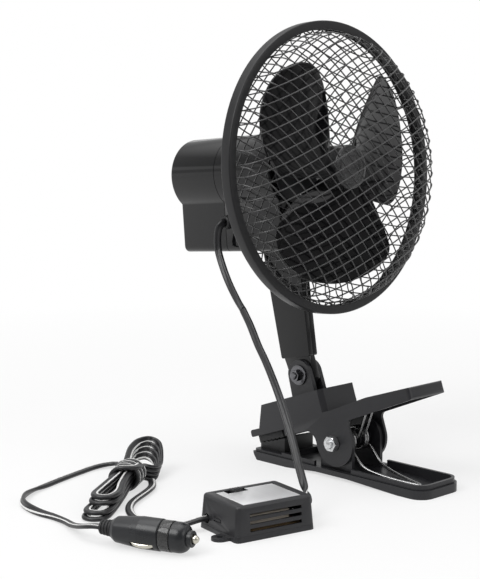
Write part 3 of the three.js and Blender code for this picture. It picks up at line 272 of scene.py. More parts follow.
SATIN = plastic("satin_black_abs", (0.012, 0.012, 0.014), (0.020, 0.020, 0.023), 0.30, 0.44,
                grain=2600, depth=0.00003)
LOWER_HALF_WIDTH, LOWER_BACK, LOWER_FRONT = 22.5, -84, 81.5
BACK_CORNER, FRONT_CORNER = 11, 4
BACK_FOOT_END, BELLY_HALF, FRONT_FOOT_START, BELLY_LIFT = -62, 15, 44.5, 2.4
NOSE_FOOT, NOSE_SLOPE = 75.5, 0.78
WALL_TOP, RIM_TOP, RIM_INSET, HOLLOW_INSET = 6.2, 9.7, 1.6, 3.8
TRAY_FLOOR, JAW_FLOOR, LOWER_JAW_START, LOWER_JAW_TOP = 2.2, 3.4, 50.8, 8
LOWER_EAR_INNER, LOWER_EAR_OUTER, LOWER_EAR_RADIUS, EAR_ROOM = 13.9, 16.7, 15, 17.7
BOSS_END, BOSS_RADIUS, PIVOT_BORE = 2.45, 5.95, 3.3
PAST_SIDE, PAST_BACK, PAST_TOP = 24, -90, 12


def lower_plan(inset):
    x, y0, y1 = LOWER_HALF_WIDTH - inset, LOWER_BACK + inset, LOWER_FRONT - inset
    a, b = BACK_CORNER - inset, FRONT_CORNER - inset / 2
    return (arc(x - a, y0 + a, a, -90, 0, 12) + arc(x - b, y1 - b, b, 0, 90, 8)
            + arc(-x + b, y1 - b, b, 90, 180, 8) + arc(-x + a, y0 + a, a, 180, 270, 12))


def lower_side(top):
    # two foot bands, the belly lifted between them, and a nose that leans forward
    return [
        (PAST_BACK, 0), (BACK_FOOT_END, 0), (-BELLY_HALF, BELLY_LIFT), (BELLY_HALF, BELLY_LIFT),
        (FRONT_FOOT_START, 0), (NOSE_FOOT, 0), (NOSE_FOOT + NOSE_SLOPE * top, top), (PAST_BACK, top),
    ]


lower = prism("lower_lever_body", lower_side(WALL_TOP), -PAST_SIDE, PAST_SIDE, "x", AT_CLIP)
merged(lower, [prism("plan", lower_plan(0), -1, PAST_TOP, "z", AT_CLIP)], "INTERSECT")
rim = prism("rim", lower_side(RIM_TOP), -PAST_SIDE, PAST_SIDE, "x", AT_CLIP)
merged(rim, [prism("plan", lower_plan(RIM_INSET), -1, PAST_TOP, "z", AT_CLIP)], "INTERSECT")
add(lower, rim)
hollow = prism("hollow", [
    (PAST_BACK, TRAY_FLOOR), (BACK_FOOT_END, TRAY_FLOOR), (-BELLY_HALF, TRAY_FLOOR + BELLY_LIFT),
    (BELLY_HALF, TRAY_FLOOR + BELLY_LIFT), (LOWER_JAW_START, JAW_FLOOR), (LOWER_JAW_START, PAST_TOP),
    (PAST_BACK, PAST_TOP),
], -PAST_SIDE, PAST_SIDE, "x", AT_CLIP)
merged(hollow, [prism("plan", lower_plan(HOLLOW_INSET), -1, PAST_TOP + 1, "z", AT_CLIP)], "INTERSECT")
cut(lower, hollow)
cut(lower, slab("jaw_top", (-PAST_SIDE, PAST_SIDE), (LOWER_JAW_START, LOWER_FRONT + 2.5),
                (LOWER_JAW_TOP, PAST_TOP), AT_CLIP))
for x in both_sides(LOWER_EAR_OUTER, PAST_SIDE):
    cut(lower, slab("ear_room", x, (-EAR_ROOM, EAR_ROOM), (WALL_TOP, PAST_TOP), AT_CLIP))
ear = [(LOWER_EAR_RADIUS, JAW_FLOOR), *arc(0, PIVOT_HEIGHT, LOWER_EAR_RADIUS, 0, 180, 40),
       (-LOWER_EAR_RADIUS, JAW_FLOOR)]
for low, high in both_sides(LOWER_EAR_INNER, LOWER_EAR_OUTER):
    add(lower, prism("ear", ear, low, high, "x", AT_CLIP))
for low, high in both_sides(BOSS_END, LOWER_EAR_OUTER - 1):
    add(lower, rod("boss", BOSS_RADIUS, low, high, "x", AT_PIVOT))
cut(lower, rod("bore", PIVOT_BORE, -PAST_SIDE, PAST_SIDE, "x", AT_PIVOT))
dressed(lower, SATIN, "lower_lever", ["lower_jaw"], edge=0.5, segments=3)

# ---------------------------------------------------------------- upper lever
# Handle and jaw in one inverted channel of the same ABS, with round ears at the pivot.
# A hollow block with a sloping front stands on the jaw and carries the two lugs of the arm.
LEVER_LEAN = 19.5
AT_LEVER = placed(0, PIVOT_Y, PIVOT_HEIGHT, turn_x=-LEVER_LEAN)
UPPER_HALF_WIDTH, UPPER_WALL, PLATE_TOP, RAIL_LOW = 19.3, 2.2, 23.3, 13.4
HANDLE_END, HANDLE_TOP, HANDLE_LOW, HANDLE_CORNER = -80, 25.6, 16.6, 3
HANDLE_SWELL, HANDLE_SWELL_TOP = -40, 25.9
UPPER_EAR_RADIUS, EAR_FILLET, ARCH_RADIUS = 17.3, 4, 9.4
JAW_START, JAW_END, JAW_UNDER, LIP_TOP = 47, 82.4, 18.2, 23.6
BLOCK_FOOT, BLOCK_TOP, BLOCK_BACK, BLOCK_FRONT, BLOCK_TOP_FRONT = 21.2, 40, 1.2, 72.5, 64.3
BLOCK_CORNER, ROOM_HALF_WIDTH, ROOM_BACK = 3.3, 15.5, 5.6
BOLT_V, BOLT_W, TILT_BORE = 30.52, 54.62, 2.8
LUG_INNER, LUG_OUTER, LUG_RADIUS, LUG_FOOT_BACK, LUG_FOOT_FRONT = 3.3, 6.7, 11.2, 11.4, 12.4


def rounded(corners, count=6):
    points = []
    total = len(corners)
    for i, (x, y, r) in enumerate(corners):
        here = Vector((x, y))
        if r <= 0:
            points.append((x, y))
            continue
        before = Vector(corners[i - 1][:2]) - here
        after = Vector(corners[(i + 1) % total][:2]) - here
        angle = before.angle(after)
        reach = min(r / math.tan(angle / 2), before.length * 0.49, after.length * 0.49)
        radius = reach * math.tan(angle / 2)
        a = here + before.normalized() * reach
        b = here + after.normalized() * reach
        inward = (before.normalized() + after.normalized()).normalized()
        centre = here + inward * (radius / math.sin(angle / 2))
        start, end = a - centre, b - centre
        turn = start.angle_signed(end)
        for k in range(count + 1):
            spun = start.copy()
            spun.rotate(Matrix.Rotation(-turn * k / count, 2))
            points.append(tuple(centre + spun))
    return points


upper = prism("upper_lever_body", [
    *rounded([(HANDLE_END, HANDLE_TOP, 1.5), (HANDLE_END, HANDLE_LOW, 2.5),
              (-UPPER_EAR_RADIUS - EAR_FILLET, RAIL_LOW, 0)], 5)[:-1],
    *arc(-UPPER_EAR_RADIUS - EAR_FILLET, RAIL_LOW - EAR_FILLET, EAR_FILLET, 90, 0, 8),
    *arc(0, 0, UPPER_EAR_RADIUS, 180, 360, 48),
    *arc(UPPER_EAR_RADIUS + ARCH_RADIUS, RAIL_LOW - ARCH_RADIUS, ARCH_RADIUS, 180, 90, 12),
    (JAW_START, RAIL_LOW), (JAW_START, JAW_UNDER),
    *rounded([(60, JAW_UNDER, 0), (JAW_END, JAW_UNDER, 1.6), (JAW_END, LIP_TOP, 2),
              (60, LIP_TOP, 0)], 5)[1:-1],
    (70, PLATE_TOP), (-4, PLATE_TOP), (HANDLE_SWELL, HANDLE_SWELL_TOP),
], -UPPER_HALF_WIDTH, UPPER_HALF_WIDTH, "x", AT_LEVER)
handle_plan = rounded([
    (-UPPER_HALF_WIDTH, JAW_END + 7.6, 0), (-UPPER_HALF_WIDTH, HANDLE_END, HANDLE_CORNER),
    (UPPER_HALF_WIDTH, HANDLE_END, HANDLE_CORNER), (UPPER_HALF_WIDTH, JAW_END + 7.6, 0),
], 8)
merged(upper, [prism("handle_plan", handle_plan, -20, BLOCK_TOP, "z", AT_LEVER)], "INTERSECT")
inner_half, ceiling = UPPER_HALF_WIDTH - UPPER_WALL, PLATE_TOP - UPPER_WALL
cut(upper, slab("channel", (-inner_half, inner_half), (HANDLE_END + UPPER_WALL, JAW_START - UPPER_WALL),
                (-UPPER_EAR_RADIUS - 1, ceiling), AT_LEVER))
block_half = UPPER_HALF_WIDTH - BLOCK_CORNER
block_plan = [
    (-UPPER_HALF_WIDTH, BLOCK_FRONT + 1), (-UPPER_HALF_WIDTH, BLOCK_BACK + BLOCK_CORNER),
    (-block_half, BLOCK_BACK), (block_half, BLOCK_BACK),
    (UPPER_HALF_WIDTH, BLOCK_BACK + BLOCK_CORNER), (UPPER_HALF_WIDTH, BLOCK_FRONT + 1),
]
top_block = prism("block", [
    (BLOCK_BACK, BLOCK_FOOT), (BLOCK_FRONT, BLOCK_FOOT), (BLOCK_FRONT, PLATE_TOP),
    (BLOCK_TOP_FRONT, BLOCK_TOP), (BLOCK_BACK, BLOCK_TOP),
], -20, 20, "x", AT_LEVER)
merged(top_block, [prism("plan", block_plan, 0, BLOCK_TOP + 10, "z", AT_LEVER)], "INTERSECT")
add(upper, top_block)
cut(upper, slab("room", (-ROOM_HALF_WIDTH, ROOM_HALF_WIDTH), (ROOM_BACK, JAW_START - UPPER_WALL),
                (ceiling - 1, BLOCK_TOP - UPPER_WALL), AT_LEVER))
lug = [(BOLT_V - LUG_FOOT_BACK, BLOCK_TOP - 1), (BOLT_V + LUG_FOOT_FRONT, BLOCK_TOP - 1),
       *arc(BOLT_V, BOLT_W, LUG_RADIUS, 0, 180, 40)]
for low, high in both_sides(LUG_INNER, LUG_OUTER):
    add(upper, prism("lug", lug, low, high, "x", AT_LEVER))
cut(upper, rod("bore", PIVOT_BORE, -20, 20, "x", AT_LEVER))
cut(upper, rod("bore", TILT_BORE, -9, 9, "x", AT_LEVER, (BOLT_V, BOLT_W)))
dressed(upper, SATIN, "upper_lever", ["upper_jaw"], edge=0.5, segments=3)

# ---------------------------------------------------------------- pads
# Strips of black rubber with teeth across the jaw, one pressed into each lever.
# The lower one is a wedge that fills the gap between the jaws.
RUBBER = plastic("pad_rubber", (0.010, 0.010, 0.011), (0.016, 0.016, 0.017), 0.5, 0.65,
                 grain=3000, depth=0.00006)
PAD_START, UPPER_PAD_END, LOWER_PAD_END, PAD_HALF_WIDTH = 53, 79, 78, 15.5
UPPER_PAD_FACE, PAD_PRESS, LOWER_PAD_RISE = 12.75, 0.7, 7.2
TOOTH_PITCH, TOOTH_HALF, TOOTH_DEPTH = 4.3, 1, 0.9


def toothed(name, end, back_face, face, toward, place, body, node, rise=0.0):
    def top(y):
        return face + rise * (end - y) / (end - PAD_START)

    points = [(PAD_START, back_face), (end, back_face), (end, face)]
    y = end - TOOTH_PITCH
    while y > PAD_START + TOOTH_PITCH:
        points += [(y + TOOTH_HALF, top(y + TOOTH_HALF)), (y, top(y) - toward * TOOTH_DEPTH),
                   (y - TOOTH_HALF, top(y - TOOTH_HALF))]
        y -= TOOTH_PITCH
    points.append((PAD_START, top(PAD_START)))
    pad = prism(name, points, -PAD_HALF_WIDTH, PAD_HALF_WIDTH, "x", place)
    return dressed(pad, RUBBER, body, [node], edge=0.2)


lean = math.radians(LEVER_LEAN)
meeting = PIVOT_HEIGHT - UPPER_PAD_END * math.sin(lean) + UPPER_PAD_FACE * math.cos(lean)
toothed("upper_grip", UPPER_PAD_END, JAW_UNDER + 0.55, UPPER_PAD_FACE, -1, AT_LEVER, "upper_lever",
        "upper_pad")
toothed("lower_grip", LOWER_PAD_END, LOWER_JAW_TOP - 0.1, meeting + PAD_PRESS, 1, AT_CLIP, "lower_lever",
        "lower_pad", rise=LOWER_PAD_RISE)


# ---------------------------------------------------------------- pivot bolt and nut
# A hexagon bolt and nut of zinc-plated steel. They hold the two levers together
# and are the axle on which the upper one turns.
def metal(name, colour, gloss, matt, brushed=(400.0, 400.0, 400.0)):
    material, tree = shaded(name)
    place = wired(tree, "ShaderNodeTexCoord")["Object"]
    stretched = wired(tree, "ShaderNodeMapping", {"Scale": brushed, "Vector": place})["Vector"]
    streaks = wired(tree, "ShaderNodeTexNoise", {"Scale": 1, "Detail": 5, "Vector": stretched})["Fac"]
    fed(tree, tree.nodes["Principled BSDF"], {
        "Metallic": 1, "Base Color": colour_mix(tree, tuple(c * 0.8 for c in colour), colour, streaks),
        "Roughness": spread(tree, streaks, gloss, matt), "Normal": bump(tree, streaks, 0.15, 0.00003),
    })
    return material


STEEL = metal("zinc_plated", (0.84, 0.85, 0.86), 0.22, 0.38)


def turned(name, profile, place, segments=96, closed=False):
    vertices = []
    faces = []
    count = len(profile)
    for i in range(segments):
        angle = 2 * math.pi * i / segments
        vertices += [(r * math.cos(angle), y, r * math.sin(angle)) for r, y in profile]
    for i in range(segments):
        a, b = i * count, (i + 1) % segments * count
        for k in range(count if closed else count - 1):
            n = (k + 1) % count
            faces.append([a + k, a + n, b + n, b + k])
    return new_object(name, vertices, faces, place)


def hexagon(flats):
    return arc(0, 0, flats / math.sqrt(3), 0, 300, 6)


def nut(name, flats, hole, low, high, place, material, node, body):
    blank = prism(name, hexagon(flats), low, high, "x", place)
    rounding = turned("rounding", [
        (0.0, low - 0.1), (flats * 0.5, low - 0.1), (flats * 0.59, low + flats * 0.06),
        (flats * 0.59, high - flats * 0.06), (flats * 0.5, high + 0.1), (0.0, high + 0.1),
    ], place @ Matrix.Rotation(-math.pi / 2, 4, "Z"), segments=72)
    merged(blank, [rounding], "INTERSECT")
    cut(blank, rod("hole", hole, low - 1, high + 1, "x", place))
    return dressed(blank, material, body, [node], edge=0.15)


def bolt(name, radius, flats, low, face, head, place, material, node, body):
    shank = rod(name, radius, low, face + 0.2, "x", place)
    add(shank, prism("cap", hexagon(flats), face, face + head, "x", place))
    return dressed(shank, material, body, [node], edge=0.3)


bolt("pivot_bolt_body", radius=3, flats=10, low=-26.1, face=19.6, head=4, place=AT_PIVOT, material=STEEL,
     node="pivot_bolt", body="lower_lever")
nut("pivot_nut_body", flats=10, hole=PIVOT_BORE, low=-24.6, high=-19.6, place=AT_PIVOT, material=STEEL,
    node="pivot_nut", body="lower_lever")

# ---------------------------------------------------------------- torsion spring
# One bright steel wire: leg under the handle, coil on its boss, V in the tray, coil, leg.
# It is wound cold; the real wire bends as the clip opens, but here it keeps one fixed shape.
WIRE_RADIUS = 0.95
COIL_RADIUS, COIL_TURNS, SEAT_GAP = 8.2, 3, 0.3
UPPER_LEG_X, LOWER_LEG_X, UPPER_LEG_REACH, APEX_Y = 3.4, 10.3, 26, -64
SPRING = metal("spring_wire", (0.46, 0.46, 0.46), 0.22, 0.34)


def spline(points, step=1.2):
    knots = np.array(points, float)
    first = 2 * knots[0] - knots[1]
    last = 2 * knots[-1] - knots[-2]
    p = np.vstack([first, knots, last])
    result = []
    for i in range(1, len(p) - 2):
        p0, p1, p2, p3 = p[i - 1:i + 3]
        t0 = 0.0
        t1 = t0 + max(np.linalg.norm((p1 - p0)[:3]) ** 0.5, 1e-3)
        t2 = t1 + max(np.linalg.norm((p2 - p1)[:3]) ** 0.5, 1e-3)
        t3 = t2 + max(np.linalg.norm((p3 - p2)[:3]) ** 0.5, 1e-3)
        count = max(2, int(np.linalg.norm((p2 - p1)[:3]) / step))
        for t in np.linspace(t1, t2, count, endpoint=False):
            a1 = (t1 - t) / (t1 - t0) * p0 + (t - t0) / (t1 - t0) * p1
            a2 = (t2 - t) / (t2 - t1) * p1 + (t - t1) / (t2 - t1) * p2
            a3 = (t3 - t) / (t3 - t2) * p2 + (t - t2) / (t3 - t2) * p3
            b1 = (t2 - t) / (t2 - t0) * a1 + (t - t0) / (t2 - t0) * a2
            b2 = (t3 - t) / (t3 - t1) * a2 + (t - t1) / (t3 - t1) * a3
            result.append((t2 - t) / (t2 - t1) * b1 + (t - t1) / (t2 - t1) * b2)
    result.append(knots[-1])
    return np.array(result)


def spring_route():
    start = math.radians(162)
    sweep = math.radians(48) - COIL_TURNS * 2 * math.pi
    steps = COIL_TURNS * 24

    def on_coil(side, t):
        angle = start + t * sweep
        x = UPPER_LEG_X + t * (LOWER_LEG_X - UPPER_LEG_X)
        return side * x, COIL_RADIUS * math.cos(angle), COIL_RADIUS * math.sin(angle)

    w = PLATE_TOP - UPPER_WALL - SEAT_GAP - WIRE_RADIUS
    leg_end = (w * math.sin(lean) - UPPER_LEG_REACH * math.cos(lean),
               w * math.cos(lean) + UPPER_LEG_REACH * math.sin(lean))
    tray = TRAY_FLOOR + SEAT_GAP + WIRE_RADIUS - PIVOT_HEIGHT
    left = [on_coil(-1, i / steps) for i in range(steps + 1)]
    right = [on_coil(1, i / steps) for i in range(steps + 1)]
    lower_leg = [(9.4, -19.5, -15.6), (7.6, -30, tray + 3.4), (4.6, -46, tray + 1.2),
                 (1.3, APEX_Y + 2.5, tray + 0.3)]
    return ([(-UPPER_LEG_X, *leg_end)] + left + [(-x, y, z) for x, y, z in lower_leg]
            + [(0, APEX_Y, tray + 0.2)] + lower_leg[::-1] + right[::-1] + [(UPPER_LEG_X, *leg_end)])


def round_wire(name, route, radius, place, sides=14, step=0.8):
    line = spline(route, step)
    ahead = np.gradient(line, axis=0)
    ahead /= np.linalg.norm(ahead, axis=1)[:, None]
    normal = np.cross(ahead[0], (0, 0, 1))
    vertices, faces = [], []
    for p, a in zip(line, ahead):
        normal = normal - a * np.dot(normal, a)
        normal /= np.linalg.norm(normal)
        other = np.cross(a, normal)
        for k in range(sides):
            angle = 2 * math.pi * k / sides
            vertices.append(tuple(p + radius * (math.cos(angle) * normal + math.sin(angle) * other)))
    for i in range(len(line) - 1):
        for k in range(sides):
            n = (k + 1) % sides
            faces.append([i * sides + k, i * sides + n, (i + 1) * sides + n, (i + 1) * sides + k])
    faces.append(list(range(sides)))
    faces.append([(len(line) - 1) * sides + k for k in range(sides)])
    return new_object(name, vertices, faces, place)


spring = round_wire("spring_wire_body", spring_route(), WIRE_RADIUS, AT_PIVOT)
spring.data.shade_smooth()
spring.data.materials.append(SPRING)
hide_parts("clip_spring")
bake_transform(spring)

# ---------------------------------------------------------------- arm
# A flat hollow arm of two glossy ABS shells that meet in a seam along its edges.
# It is pushed over a solid tongue, which turns between the lugs of the clip.
AT_ARM = placed(0, -13, 67, turn_x=-11.5)
ARM_LOW, ARM_HIGH, ARM_HALF_WIDTH, ARM_WALL, ARM_GAP = 13.0, 98.0, 4.4, 1.2, 0.06
ARM_FRONT, ARM_REAR, ARM_FLARE = 11, 18, 0.045
TONGUE_RADIUS, TONGUE_TOP, TONGUE_HALF_WIDTH, TONGUE_ROOM = 12.5, 58, 2.9, 1.5
GLOSS = plastic("gloss_black_abs", (0.004, 0.004, 0.0045), (0.006, 0.006, 0.0065), 0.06, 0.12,
                level=0.38, grain=900, depth=0.000008)


def arm_outline(inset, low, high):
    def front(z):
        return -(ARM_FRONT + ARM_FLARE * (z - ARM_LOW)) + inset

    def rear(z):
        return ARM_REAR + ARM_FLARE * (z - ARM_LOW) - inset

    return [(front(low), low), (rear(low), low), (rear(high), high), (front(high), high)]


def arm_shell(name, low, high, room):
    outline = rounded([(*p, r) for p, r in zip(arm_outline(0, ARM_LOW, ARM_HIGH), (1.5, 1.5, 1, 1))], 4)
    shell = prism(name, outline, low, high, "x", AT_ARM)
    hollow = arm_outline(ARM_WALL, ARM_LOW - 1, ARM_HIGH - ARM_WALL)
    return cut(shell, prism("room", hollow, *room, "x", AT_ARM))


arm_room = ARM_HALF_WIDTH - ARM_WALL
arm_left = arm_shell("arm_shell_left", -ARM_HALF_WIDTH, -ARM_GAP, (-arm_room, 0.5))
arm_right = arm_shell("arm_shell_right", ARM_GAP, ARM_HALF_WIDTH, (-0.5, arm_room))
dressed(arm_left, GLOSS, "head", ["outer_arm"], edge=0.45, segments=3)
dressed(arm_right, GLOSS, "head", ["outer_arm"], edge=0.45, segments=3)
tongue_front, tongue_rear = TONGUE_ROOM - ARM_FRONT, ARM_REAR - TONGUE_ROOM
tongue = prism("tongue", arc(0, 0, TONGUE_RADIUS, 190.8, 349.2, 30) + [
    (tongue_rear, ARM_LOW), (tongue_rear, TONGUE_TOP), (tongue_front, TONGUE_TOP), (tongue_front, ARM_LOW),
], -TONGUE_HALF_WIDTH, TONGUE_HALF_WIDTH, "x", AT_ARM)
cut(tongue, rod("bore", TILT_BORE, -4, 4, "x", AT_ARM))
dressed(tongue, GLOSS, "head", ["arm_tongue"], edge=0.4)

# ---------------------------------------------------------------- tilt bolt
# A blackened steel bolt, nut and two washers that pinch the tongue between the lugs.
BLACK_STEEL = metal("black_steel", (0.17, 0.17, 0.18), 0.14, 0.26)
WASHER_RADIUS, WASHER_THICK = 7.5, 1
for name, x in (("tilt_washer_nut", -8.0), ("tilt_washer_head", 7.0)):
    washer = rod(name + "_disc", WASHER_RADIUS, x, x + WASHER_THICK, "x", AT_ARM, sides=64)
    cut(washer, rod("hole", TILT_BORE, x - 1, x + 2, "x", AT_ARM))
    dressed(washer, BLACK_STEEL, "upper_lever", [name], edge=0.2)
bolt("tilt_bolt_body", radius=2.5, flats=8, low=-13.5, face=8.3, head=3.5, place=AT_ARM,
     material=BLACK_STEEL, node="tilt_bolt", body="upper_lever")
nut("tilt_nut_body", flats=8, hole=TILT_BORE, low=-12.3, high=-8.3, place=AT_ARM, material=BLACK_STEEL,
    node="tilt_nut", body="upper_lever")

# ---------------------------------------------------------------- motor housing
# Two glossy ABS cases with a keyhole section, a round barrel over a narrower box, butted at a seam.
# Two cross-headed screws in deep holes draw the rear case on.
AT_HEAD = placed(0, -41.3, 221.3, turn_x=-5)
CASE_FRONT, SEAM, CASE_REAR = 39.0, 97.5, 146.4
BARREL_RADIUS, BOX_HALF_WIDTH, BOX_LOW, BOX_CORNER, CASE_WALL = 28.5, 19, -58.5, 5.0, 2
CASE_SCREWS = [(-11.0, -36.3), (11.0, -36.3)]
SINK_RADIUS, SINK_FLOOR, SCREW_RADIUS, SCREW_FOOT, SCREW_FACE = 3.3, 141.0, 3.0, 141.7, 143.4
SLIT_FLOOR, SLIT_REACH, SLIT_HALF = 142.5, 2.2, 0.35


def keyhole(inset):
    r, x, low = BARREL_RADIUS - inset, BOX_HALF_WIDTH - inset, BOX_LOW + inset
    start = -math.degrees(math.acos(x / r))
    corner = max(BOX_CORNER - inset, 0.6)
    points = arc(0, 0, r, start, 180 - start, 72)
    points += arc(-x + corner, low + corner, corner, 180, 270, 10)
    points += arc(x - corner, low + corner, corner, 270, 360, 10)
    return points


def soft_end(outline, end, radius, toward, steps=6):
    angles = np.radians(np.linspace(0, 90, steps + 1))
    return [(outline(radius * (1 - math.cos(a))), end - toward * radius * (1 - math.sin(a))) for a in angles]


front_layers = soft_end(keyhole, CASE_FRONT, 1.6, -1)[::-1] + [(keyhole(0), SEAM)]
front_case = lofted("front_case", front_layers, "y", AT_HEAD)
cut(front_case, prism("room", keyhole(CASE_WALL), CASE_FRONT + CASE_WALL, SEAM + 1, "y", AT_HEAD))
cut(front_case, rod("nose", 5.3, CASE_FRONT - 1, CASE_FRONT + 4, "y", AT_HEAD))
cut(front_case, prism("passage", arm_outline(-0.3, ARM_LOW, ARM_HIGH + 1), -4.7, 4.7, "x", AT_ARM))
dressed(front_case, GLOSS, "head", ["front_housing"], edge=0.15, segments=1)
rear_layers = [(keyhole(0), SEAM + 0.3)] + soft_end(keyhole, CASE_REAR, 1.8, 1)
rear_case = lofted("rear_case", rear_layers, "y", AT_HEAD)
cut(rear_case, prism("room", keyhole(CASE_WALL), SEAM - 1, CASE_REAR - CASE_WALL, "y", AT_HEAD))
for place in CASE_SCREWS:
    cut(rear_case, rod("sink", SINK_RADIUS, SINK_FLOOR, CASE_REAR + 1.6, "y", AT_HEAD, place))
dressed(rear_case, GLOSS, "head", ["rear_housing"], edge=0.15, segments=1)
for k, (x, z) in enumerate(CASE_SCREWS):
    screw = rod(f"case_screw_{k + 1}", SCREW_RADIUS, SCREW_FOOT, SCREW_FACE, "y", AT_HEAD, (x, z))
    for a, b in ((SLIT_REACH, SLIT_HALF), (SLIT_HALF, SLIT_REACH)):
        cut(screw, slab("slit", (x - a, x + a), (SLIT_FLOOR, 144), (z - b, z + b), AT_HEAD))
    dressed(screw, STEEL, "head", [f"housing_screw_{k + 1}"], edge=0.25)

# the cord's outlet: a small rubber collar pinched in the seam, on the side of the box
collar = turned("outlet_collar", rounded([
    (3.1, 0.0, 0), (5.4, 0.0, 0.2), (5.0, 2.6, 0.6), (4.0, 3.4, 0.4), (3.1, 3.4, 0.3),
], 4), AT_HEAD @ placed(-BOX_HALF_WIDTH - 0.3, SEAM - 2, -36, turn_z=90), closed=True, segments=48)
dressed(collar, RUBBER, "head", ["cord_outlet"], edge=0)

# ---------------------------------------------------------------- motor
# A plated steel can with a boss at each end, in the front case. Its shaft carries the propeller.
MOTOR_RADIUS, MOTOR_FRONT, MOTOR_REAR, MOTOR_BOSS_RADIUS, MOTOR_BOSS = 14.0, 45.0, 85.0, 5.0, 3.0
SHAFT_RADIUS, SHAFT_START, SHAFT_END = 1.6, -10.3, 57.0
can = turned("motor_can", rounded([
    (0.0, MOTOR_FRONT - MOTOR_BOSS, 0), (MOTOR_BOSS_RADIUS, MOTOR_FRONT - MOTOR_BOSS, 0.5),
    (MOTOR_BOSS_RADIUS, MOTOR_FRONT, 0.3), (MOTOR_RADIUS, MOTOR_FRONT, 1.2),
    (MOTOR_RADIUS, MOTOR_REAR, 1.2), (MOTOR_BOSS_RADIUS, MOTOR_REAR, 0.3),
    (MOTOR_BOSS_RADIUS, MOTOR_REAR + MOTOR_BOSS, 0.5), (0.0, MOTOR_REAR + MOTOR_BOSS, 0),
], 4), AT_HEAD)
dressed(can, STEEL, "head", ["motor"], edge=0)
shaft = rod("shaft", SHAFT_RADIUS, SHAFT_START, SHAFT_END, "y", AT_HEAD)
dressed(shaft, STEEL, "rotor", ["motor_shaft"], edge=0.2)

# ---------------------------------------------------------------- guard ring
# A U-section ring of satin black ABS in one moulding. It holds the edges of both grilles.
RING = plastic("ring_black", (0.008, 0.008, 0.009), (0.013, 0.013, 0.014), 0.34, 0.46,
               level=0.4, grain=1500, depth=0.00001)
RING_INNER, RING_GROOVE, RING_OUTER, RING_DEPTH = 98.7, 99.5, 105.0, 8.6
ring_profile = rounded([
    (RING_INNER, 0.0, 0.5), (RING_OUTER, 0.0, 1.1), (RING_OUTER, RING_DEPTH, 1.1),
    (RING_INNER, RING_DEPTH, 0.5), (RING_INNER, RING_DEPTH - 1.6, 0.3), (RING_GROOVE, RING_DEPTH - 1.8, 0.3),
    (RING_GROOVE, 1.8, 0.3), (RING_INNER, 1.6, 0.3),
], 5)
ring = turned("ring", ring_profile, AT_HEAD, segments=160, closed=True)
dressed(ring, RING, "head", ["guard_ring"], edge=0)

# ---------------------------------------------------------------- wire grilles
# Two families of black-coated steel wires, welded where they cross and pressed over a dome.
# The front grille bulges over the propeller, and the rear one is clamped to the motor housing.
WIRE = plastic("wire_coating", (0.014, 0.014, 0.015), (0.022, 0.022, 0.022), 0.2, 0.3,
               level=0.9, grain=1500, depth=0.00001)
WIRE_PITCH, WIRE_TURN, WIRE_CROSSING, REAR_HOLE = 7.8, 20.5, 110.0, 9.6
FRONT_EDGE, REAR_EDGE = 2.7, 5.9
FRONT_DOME, REAR_DOME = 33.0, 32.0
FRONT_FULLNESS, REAR_FULLNESS = 3.0, 2.4


def maths(tree, operation, *values):
    return wired(tree, "ShaderNodeMath", dict(enumerate(values)), operation=operation)["Value"]


